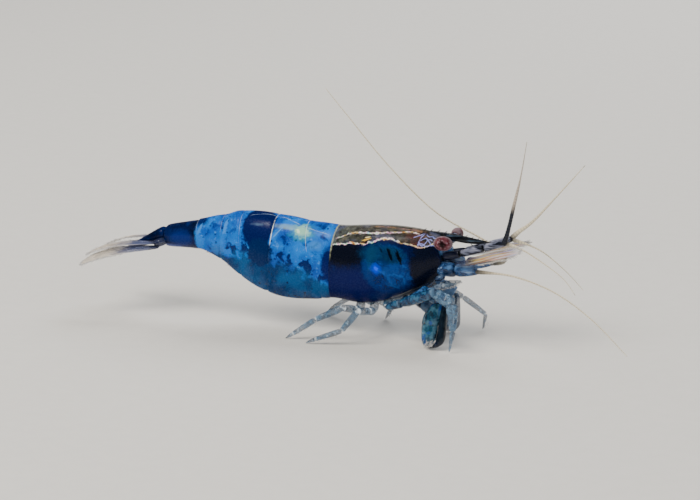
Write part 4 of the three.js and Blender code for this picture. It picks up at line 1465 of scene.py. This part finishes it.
# joints from hip to toe: x, y outwards, height over the floor; a claw leg ends with its palm's size
clawLegs = {
    "right": (
        ((5.8, 0.42, 2.6), (6.5, 1.0, 2.7), (7.2, 1.25, 2.4), (6.95, 1.25, 0.08), 0.42),
        ((5.2, 1.0, 2.5), (7.0, 1.75, 3.72), (8.1, 1.95, 3.15), (7.6, 2.9, 0.11), 0.58),
    ),
    "left": (
        ((5.8, 0.42, 2.6), (6.45, 1.0, 2.7), (7.1, 1.2, 2.4), (6.6, 1.1, 0.08), 0.42),
        ((5.2, 1.0, 2.5), (6.65, 1.82, 3.4), (7.6, 2.0, 2.8), (7.2, 1.95, 0.08), 0.46),
    ),
}
walkingLegs = {
    "right": (
        ((3.9, 1.25, 2.2), (8.0, 2.9, 3.95), (9.25, 3.05, 3.35), (9.35, 3.15, 1.5), (9.1, 3.15, 0.05)),
        ((2.9, 1.2, 1.85), (2.65, 3.4, 2.3), (1.7, 3.9, 1.0), (-0.05, 4.3, 0.35), (-0.7, 4.4, 0.05)),
        ((1.9, 1.2, 1.85), (1.35, 2.8, 2.3), (-0.5, 3.2, 1.4), (-2.0, 3.6, 0.35), (-2.45, 3.75, 0.05)),
    ),
    "left": (
        ((3.9, 1.25, 2.2), (6.9, 2.45, 2.95), (7.9, 2.8, 2.4), (9.4, 3.3, 1.2), (9.15, 3.4, 0.05)),
        ((2.9, 1.2, 1.85), (3.5, 3.0, 2.5), (2.9, 3.4, 1.8), (2.2, 3.7, 0.6), (1.9, 3.7, 0.05)),
        ((1.9, 1.2, 1.85), (1.2, 2.9, 2.4), (0.1, 3.2, 1.9), (-1.9, 3.5, 0.6), (-2.5, 3.5, 0.05)),
    ),
}
limbShape = {
    "coxaRadii": (0.36, 0.31),
    "walkingRadii": (0.31, 0.27, 0.22, 0.17, 0.05),
    "rightFrontRadii": (0.24, 0.36, 0.42, 0.5, 0.24, 0.06),
    "armRadii": (0.36, 0.5, 0.52),
    # share of the hand's length; place ahead, half width and half depth as shares of the palm's size
    "palm": (
        (0.0, -0.1, 0.44, 0.5), (0.05, -0.18, 0.66, 0.74), (0.18, -0.35, 0.84, 0.95),
        (0.36, -0.5, 0.88, 1.02), (0.5, -0.55, 0.8, 1.0), (0.57, -0.55, 0.5, 0.7),
    ),
    "hindFinger": (
        (0.4, -0.6, 0.52, 0.8), (0.56, -0.55, 0.64, 1.0), (0.72, -0.45, 0.62, 1.02),
        (0.84, -0.45, 0.52, 0.84), (0.92, -0.5, 0.36, 0.54), (0.97, -0.55, 0.12, 0.18),
    ),
    "frontFinger": (
        (-0.02, 0.2, 0.34, 0.32), (0.06, 0.48, 0.52, 0.42), (0.25, 0.68, 0.6, 0.46), (0.45, 0.86, 0.64, 0.48),
        (0.64, 1.06, 0.6, 0.5), (0.78, 1.12, 0.56, 0.5), (0.89, 0.88, 0.48, 0.42), (0.96, 0.42, 0.36, 0.28),
        (0.99, 0.0, 0.24, 0.16), (0.995, -0.24, 0.1, 0.06),
    ),
    "brush": 60,  # bristles on each finger's tip
    "brushLength": 0.6,
    "spines": (26, 0.2, 60),  # on each shin: how many, how long, how far round, in degrees
}
thighProfile = ((0, 0.8), (0.5, 1), (1, 0.8))
hipProfile = ((0, 0.8), (0.3, 1.05), (0.75, 1.0), (1, 0.85))
toeProfile = ((0, 0.75), (0.1, 1.0), (0.5, 0.9), (0.85, 0.9), (1, 0.5))


def legChitin():
    # glass-clear leg cuticle over grey-blue muscle, milky white where two joints meet, with a few blue cells;
    # the thigh beside the claws is as dense as they are
    finish = {"IOR": 1.35, "Roughness": 0.24, "Coat Weight": 0.2, "Coat Roughness": 0.08}
    material, add, space, _ = newMaterial("legChitin", finish)
    grain = add("noise", space, 1 / 0.4, 4, 0.6)
    fibres = add("noise", space, 3.4, 2.0, None, 1.5)
    along, tone = add("along"), add("tone")
    rims = add("larger", add("softStep", along, 0.07, 0.01), add("softStep", along, 0.9, 0.98))
    ends = add("times", rims, add("softStep", grain, 0.36, 0.56))
    pale = add("softStep", tone, 0.0, -0.5)
    paleTone = paint(add, "#2a486a", (grain, 0.36, 0.56, "#5e7f9b"), (grain, 0.58, 0.7, 0.7, "#a0b8ca"))
    colour = paint(
        add,
        "#123a5a",
        (grain, 0.4, 0.62, "#47789c"),
        (fibres, 0.56, 0.66, 0.7, "#bcd2e2"),
        (add("noise", space, 1 / 0.7, 2), 0.52, 0.66, 0.7, "#0a2038"),
        (ends, "#d5e0e8"),
        (tone, paint(add, "#0c2c50", (grain, 0.42, 0.62, "#2e5e80"))),
        (pale, paleTone),
    )
    cover = add("mixNumber", ends, add("timesPlus", grain, 0.6, 0.24), add("timesPlus", grain, 0.2, 0.72))
    cover = add("mixNumber", tone, cover, add("softStep", grain, 0.0, 0.5, 0.95))
    cover = add("mixNumber", pale, cover, add("softStep", grain, 0.1, 0.75, 0.85))
    return setSurface(material, add, colour, cover, relief=(grain, 0.02, 0.7))


clawGloss = {"IOR": 1.33, "Roughness": 0.24, "Coat Weight": 0.2, "Coat Roughness": 0.08}


def armChitin():
    # the claw legs: steel-blue cuticle with navy cells, pale at the wrists, denser than the walking legs
    material, add, space, _ = newMaterial("armChitin", clawGloss)
    grain = add("noise", space, 1 / 0.45, 4, 0.6)
    colour = paint(
        add,
        "#0e3564",
        (grain, 0.4, 0.62, "#3468a0"),
        (grain, 0.6, 0.72, 0.6, "#a4c0d8"),
        (add("noise", space, 1 / 0.6, 3, None, 0.4), 0.57, 0.64, 0.8, "#020a22"),
        (add("times", add("tone"), add("softStep", grain, 0.28, 0.5)), "#5c7c9e"),
    )
    return setSurface(material, add, colour, add("timesPlus", grain, 0.4, 0.62), None, (grain, 0.02, 0.7))


def clawChitin():
    # the claws: the front finger near-black navy, the palm and the hind finger a smoky teal; the animal's
    # left claws are paler and clearer than its right ones
    material, add, space, _ = newMaterial("clawChitin", clawGloss)
    grain = add("noise", space, 1 / 0.5, 4, 0.6)
    cells = add("noise", space, 1 / 0.7, 3, None, 0.4)
    leftSide = add("softStep", add("axes", space)[1], -0.5, 0.5)
    colour = paint(
        add,
        "#143a50",
        (grain, 0.39, 0.62, "#426c80"),
        (cells, 0.54, 0.64, 0.75, "#063c8a"),
        (cells, 0.4, 0.3, 0.8, "#041020"),
        (grain, 0.62, 0.74, 0.6, "#8fb6c2"),
        (leftSide, paint(add, "#2c4a68", (grain, 0.4, 0.62, "#7c98b0"))),
        (add("tone"), 0.3, 0.7, 0.92, paint(add, "#020916", (leftSide, "#2a4460"))),
    )
    cover = add("mixNumber", leftSide, add("timesPlus", grain, 0.3, 0.76), 0.6)
    return setSurface(material, add, colour, cover, relief=(grain, 0.02, 0.7))


def hipJoint(hip, sign):
    # the short stout joints between the breast and the leg
    start = (hip[0] - 0.1, 0.5 * sign, hip[2] + 0.4)
    return joint(start, outwards(hip, sign), limbShape["coxaRadii"], hipProfile)


def claw(wrist, tip, palm, sign):
    # the palm and its two spooned fingers: the front one hooks back at its tip and the hind one closes on it
    start, end = outwards(wrist, sign), outwards(tip, sign)
    length = (Vector(end) - Vector(start)).length
    stand = facing(start, end, 0, Vector((1, 0, 0)))
    parts = []
    for name, sides, tone in (("palm", 16, 0.0), ("hindFinger", 12, 0.0), ("frontFinger", 12, 1.0)):
        rings = []
        for share, ahead, wide, high in limbShape[name]:
            rings.append((length * share, 0, palm * ahead, palm * wide, palm * high))
        parts.append(extrudeRings(name, rings, sides, 1, tone, stand))
    return parts, stand, length


def brushRoots(stand, length, palm, uvBox):
    # dense bristles fanning out of both finger tips, with which it scrapes up food
    spread = math.radians(20)
    clearance = 0.03  # none comes nearer to the floor
    roots = []
    for i in range(2 * limbShape["brush"]):
        ahead = -0.5 if i < limbShape["brush"] else 0.1
        share = rng.uniform(0.8, 0.96)
        turn = rng.uniform(0, 2 * math.pi)
        radius = 0.16 * (1.05 - share) / 0.2 + 0.03
        y, z = math.cos(turn) * radius, palm * ahead + math.sin(turn) * radius
        lean = Matrix.Rotation(spread * math.cos(turn), 4, "Z")
        lean = lean @ Matrix.Rotation(-spread * math.sin(turn), 4, "Y")
        size = min(limbShape["brushLength"] * rng.uniform(0.6, 1.0), (1.0 - share) * length + 0.02)
        matrix = stand @ Matrix.Translation(Vector((share * length, y, z)) * mm) @ lean
        if (matrix @ Vector((size * mm, 0, 0))).z < clearance * mm:
            continue
        patch = inBox(uvBox, share, turn / (2 * math.pi))
        roots.append((matrix @ Matrix.Diagonal((size, 0.7, 0.7, 1)), *patch))
    return roots


def clawArm(hip, elbow, wrist, sign):
    mid = Vector(hip).lerp(Vector(elbow), 0.3)
    stops = [outwards(point, sign) for point in (hip, mid, elbow, wrist)]
    radii = limbShape["armRadii"]
    return [
        hipJoint(hip, sign),
        joint(stops[0], stops[1], (0.3, radii[0]), thighProfile),
        joint(stops[1], stops[2], radii[:2], limbProfile),
        joint(stops[2], stops[3], radii[1:], limbProfile, 0.8),
    ]


def walkingLeg(joints, sign, radii, rightFront):
    # the right front leg's thigh is dense, its lower joints are broad and milky
    knees = [joints[0], Vector(joints[0]).lerp(Vector(joints[1]), 0.3), *joints[1:]]
    stops = [outwards(knee, sign) for knee in knees]
    sizes = limbShape["rightFrontRadii"] if rightFront else [radii[0], radii[0] * 0.95, *radii[1:]]
    parts = [hipJoint(joints[0], sign)]
    for k in range(5):
        profile = toeProfile if k == 4 else limbProfile
        dense = (0.9 if k < 2 else -0.8) if rightFront else 0.0
        parts.append(joint(stops[k], stops[k + 1], sizes[k : k + 2], profile, dense))
    return parts


def limbs():
    leg, arm, hand = legChitin(), armChitin(), clawChitin()
    radii = limbShape["walkingRadii"]
    brushes, spines = [], []
    for column, (side, sign) in enumerate(bothSides):
        left = 0.05 + 0.5 * column
        for i, (hip, elbow, wrist, tip, palm) in enumerate(clawLegs[side]):
            name = f"{i + 1}_{side}"
            parts = clawArm(hip, elbow, wrist, sign)
            finishPiece(f"clawArm_{name}", parts, "leg_shell", arm, f"claw_arm_{name}")
            parts, stand, length = claw(wrist, tip, palm, sign)
            finishPiece(f"clawHand_{name}", parts, "leg_shell", hand, f"claw_{name}")
            brushes += brushRoots(stand, length, palm, (left, 0.05 + 0.5 * i, 0.4, 0.4))
        for i, joints in enumerate(walkingLegs[side]):
            parts = walkingLeg(joints, sign, radii, (side, i) == ("right", 0))
            finishPiece(f"walkingLeg_{i + 3}_{side}", parts, "leg_shell", leg, f"leg_{i + 3}_{side}")
            shin = [outwards(point, 1, -axisHeight) for point in joints[2:]]
            box = (left, 0.05 + 0.3 * i, 0.4, 0.25)
            spines += limbBristles(shin, radii[2:], sign, *limbShape["spines"], box, 1.2)
    plantSetae("clawBrushes", "leg_shell", brushes)
    plantSetae("legSpines", "leg_shell", spines)


limbs()

print("swimmerets")

swimmeretShape = {
    "fold": 48,
    "roof": 0.27,  # where they hang, as a share of the section's height
    "apart": 0.56,  # how far each hangs from the mirror plane
    "taper": 0.04,  # and how much less from each pair to the next
    "stem": (0.42, 0.25, 0.22),  # its share of the length and its radii
    "paddles": ((-1, 0.58), (1, 0.54)),  # the side each stands on and its share of the length
    "bladeHalfWidth": 0.3,
    "thickness": 0.045,
    "fringe": (26, 0.24, 0.2),  # bristles, their length, and how far along they start
    "reach": 0.7,  # their length as a share of the room below them
}


def swimmeretChitin():
    # thin flat paddles of clear cuticle, smoky blue with a paler rim
    material, add, space, _ = newMaterial("swimmeretChitin", {"IOR": 1.33, "Roughness": 0.3})
    grain = add("noise", space, 1 / 0.3, 4)
    colour = paint(
        add, "#0a3a68", (grain, 0.4, 0.65, "#3f759c"), (add("along"), 0.6, 1.0, 0.6, "#9db8c8")
    )
    return setSurface(material, add, colour, add("timesPlus", grain, 0.5, 0.3), None, (grain, 0.02, 0.6))


def swimmerets():
    clear = swimmeretChitin()
    roots = []
    fold = math.radians(swimmeretShape["fold"])
    heading = Vector((-math.sin(fold), 0, -math.cos(fold)))
    stemProfile = ((0, 0.8), (0.3, 1.05), (0.8, 1.0), (1, 0.7))
    stemShare, *stemRadii = swimmeretShape["stem"]
    for k in range(1, 6):
        apart = swimmeretShape["apart"] - swimmeretShape["taper"] * k
        belly, back = trunkPoint(4.5 + k, 180), trunkPoint(4.5 + k, 0)
        roof = belly.lerp(back, swimmeretShape["roof"])
        length = ((roof - belly).length * (1.15 - 0.05 * k) + 0.35) * swimmeretShape["reach"]
        for row, (side, sign) in enumerate(bothSides):
            hip = roof + Vector((0, sign * apart, 0)) - heading * 0.1
            knee = hip + heading * length * stemShare
            parts = [joint(hip, knee, stemRadii, stemProfile)]
            for way, share in swimmeretShape["paddles"]:
                tip = knee + heading * length * share + Vector((0, way * 0.1, 0))
                start = knee + Vector((0.06 * way, way * 0.08, 0)) - heading * 0.06
                leaf = (length * share, swimmeretShape["bladeHalfWidth"] - 0.02 * k, 0.5, 0.3)
                stand = facing(start, tip, 50 * way)
                parts.append(leafBlade(leaf, swimmeretShape["thickness"], stand))
                box = (0.02 + 0.19 * (k - 1), 0.05 + 0.5 * row + 0.22 * (way > 0), 0.17, 0.2)
                roots += fringeRoots(stand, leaf, *swimmeretShape["fringe"], box)
            finishPiece(f"swimmeretLimb_{k}_{side}", parts, "soft_flesh", clear, f"swimmeret_{k}_{side}")
    plantSetae("swimmeretFringe", "soft_flesh", roots)


swimmerets()

print("studio")

studio = {
    "azimuth": 22,
    "elevation": 13,
    "lens": 150,
    "sensor": 36,
    "across": 47.95,  # width of the view at the animal, in millimetres
    "aimRight": 0.685,
    "aimUp": 5.435,
    "floorSize": 4.0,
    "paperGrain": 900.0,  # specks to a metre, so each is about a millimetre
    "air": ("#e8ecf0", 0.2),  # the colour and strength of the light all round
    "lit": (1.0, 0, 5.0),  # where the lamps look, in the animal's frame
    # name, towards it, distance, size, watts, colour, whether it shows in the gloss alone
    "lights": (
        ("keyLight", (-0.45, -0.75, 1.0), 0.32, 0.22, 1.5, "#fff8ee", False),
        ("fillLight", (1.0, -0.6, 0.45), 0.36, 0.3, 0.5, "#eef3ff", False),
        ("rimLight", (0.1, 1.0, 0.9), 0.32, 0.2, 0.9, "#ffffff", False),
        ("glintLight", (-0.3, -0.5, 1.0), 0.32, 0.03, 0.3, "#ffffff", True),
    ),
}


def placeCamera():
    turn, rise = math.radians(studio["azimuth"]), math.radians(studio["elevation"])
    towards = Vector((math.sin(turn) * math.cos(rise), -math.cos(turn) * math.cos(rise), math.sin(rise)))
    right = Vector((math.cos(turn), math.sin(turn), 0))
    aim = bodyOrigin + (right * studio["aimRight"] + towards.cross(right) * studio["aimUp"]) * mm
    data = bpy.data.cameras.new("studioCamera")
    data.lens = studio["lens"]
    data.sensor_width = studio["sensor"]
    data.clip_start = 0.005
    camera = newObject("studioCamera", data)
    camera.location = aim + towards * studio["across"] / studio["sensor"] * studio["lens"] * mm
    camera.rotation_euler = (math.pi / 2 - rise, 0, turn)
    bpy.context.scene.camera = camera


def addLight(name, direction, distance, size, watts, colour, glints):
    # a broad lamp lights the body without showing in its gloss; a glinting one shows there only
    data = bpy.data.lights.new(name, "AREA")
    data.size = size
    data.energy = watts
    data.color = linear(colour)[:3]
    lamp = newObject(name, data)
    lamp.visible_glossy = glints
    lamp.visible_diffuse = not glints
    towards = Vector(direction).normalized()
    lamp.location = at(*studio["lit"]) + towards * distance
    lamp.rotation_euler = towards.to_track_quat("Z", "Y").to_euler()


def paperFloor():
    # a sheet of matt studio paper, warm light grey
    material, add, _, _ = newMaterial("studioPaper", {"Roughness": 0.9, "Specular IOR Level": 0.2})
    grain = add("noise", add("place"), studio["paperGrain"], 3.0)
    setSurface(material, add, paint(add, "#d3d1cc", (grain, "#dad8d3")))
    floor = startFrom(bpy.ops.mesh.primitive_plane_add, "studioFloor", size=studio["floorSize"])
    floor.data.materials.append(material)


placeCamera()
paperFloor()
for light in studio["lights"]:
    addLight(*light)
tint, strength = studio["air"]
world = bpy.data.worlds.new("studioAir")
world.use_nodes = True
world.node_tree.nodes["Background"].inputs["Color"].default_value = linear(tint)
world.node_tree.nodes["Background"].inputs["Strength"].default_value = strength
bpy.context.scene.world = world
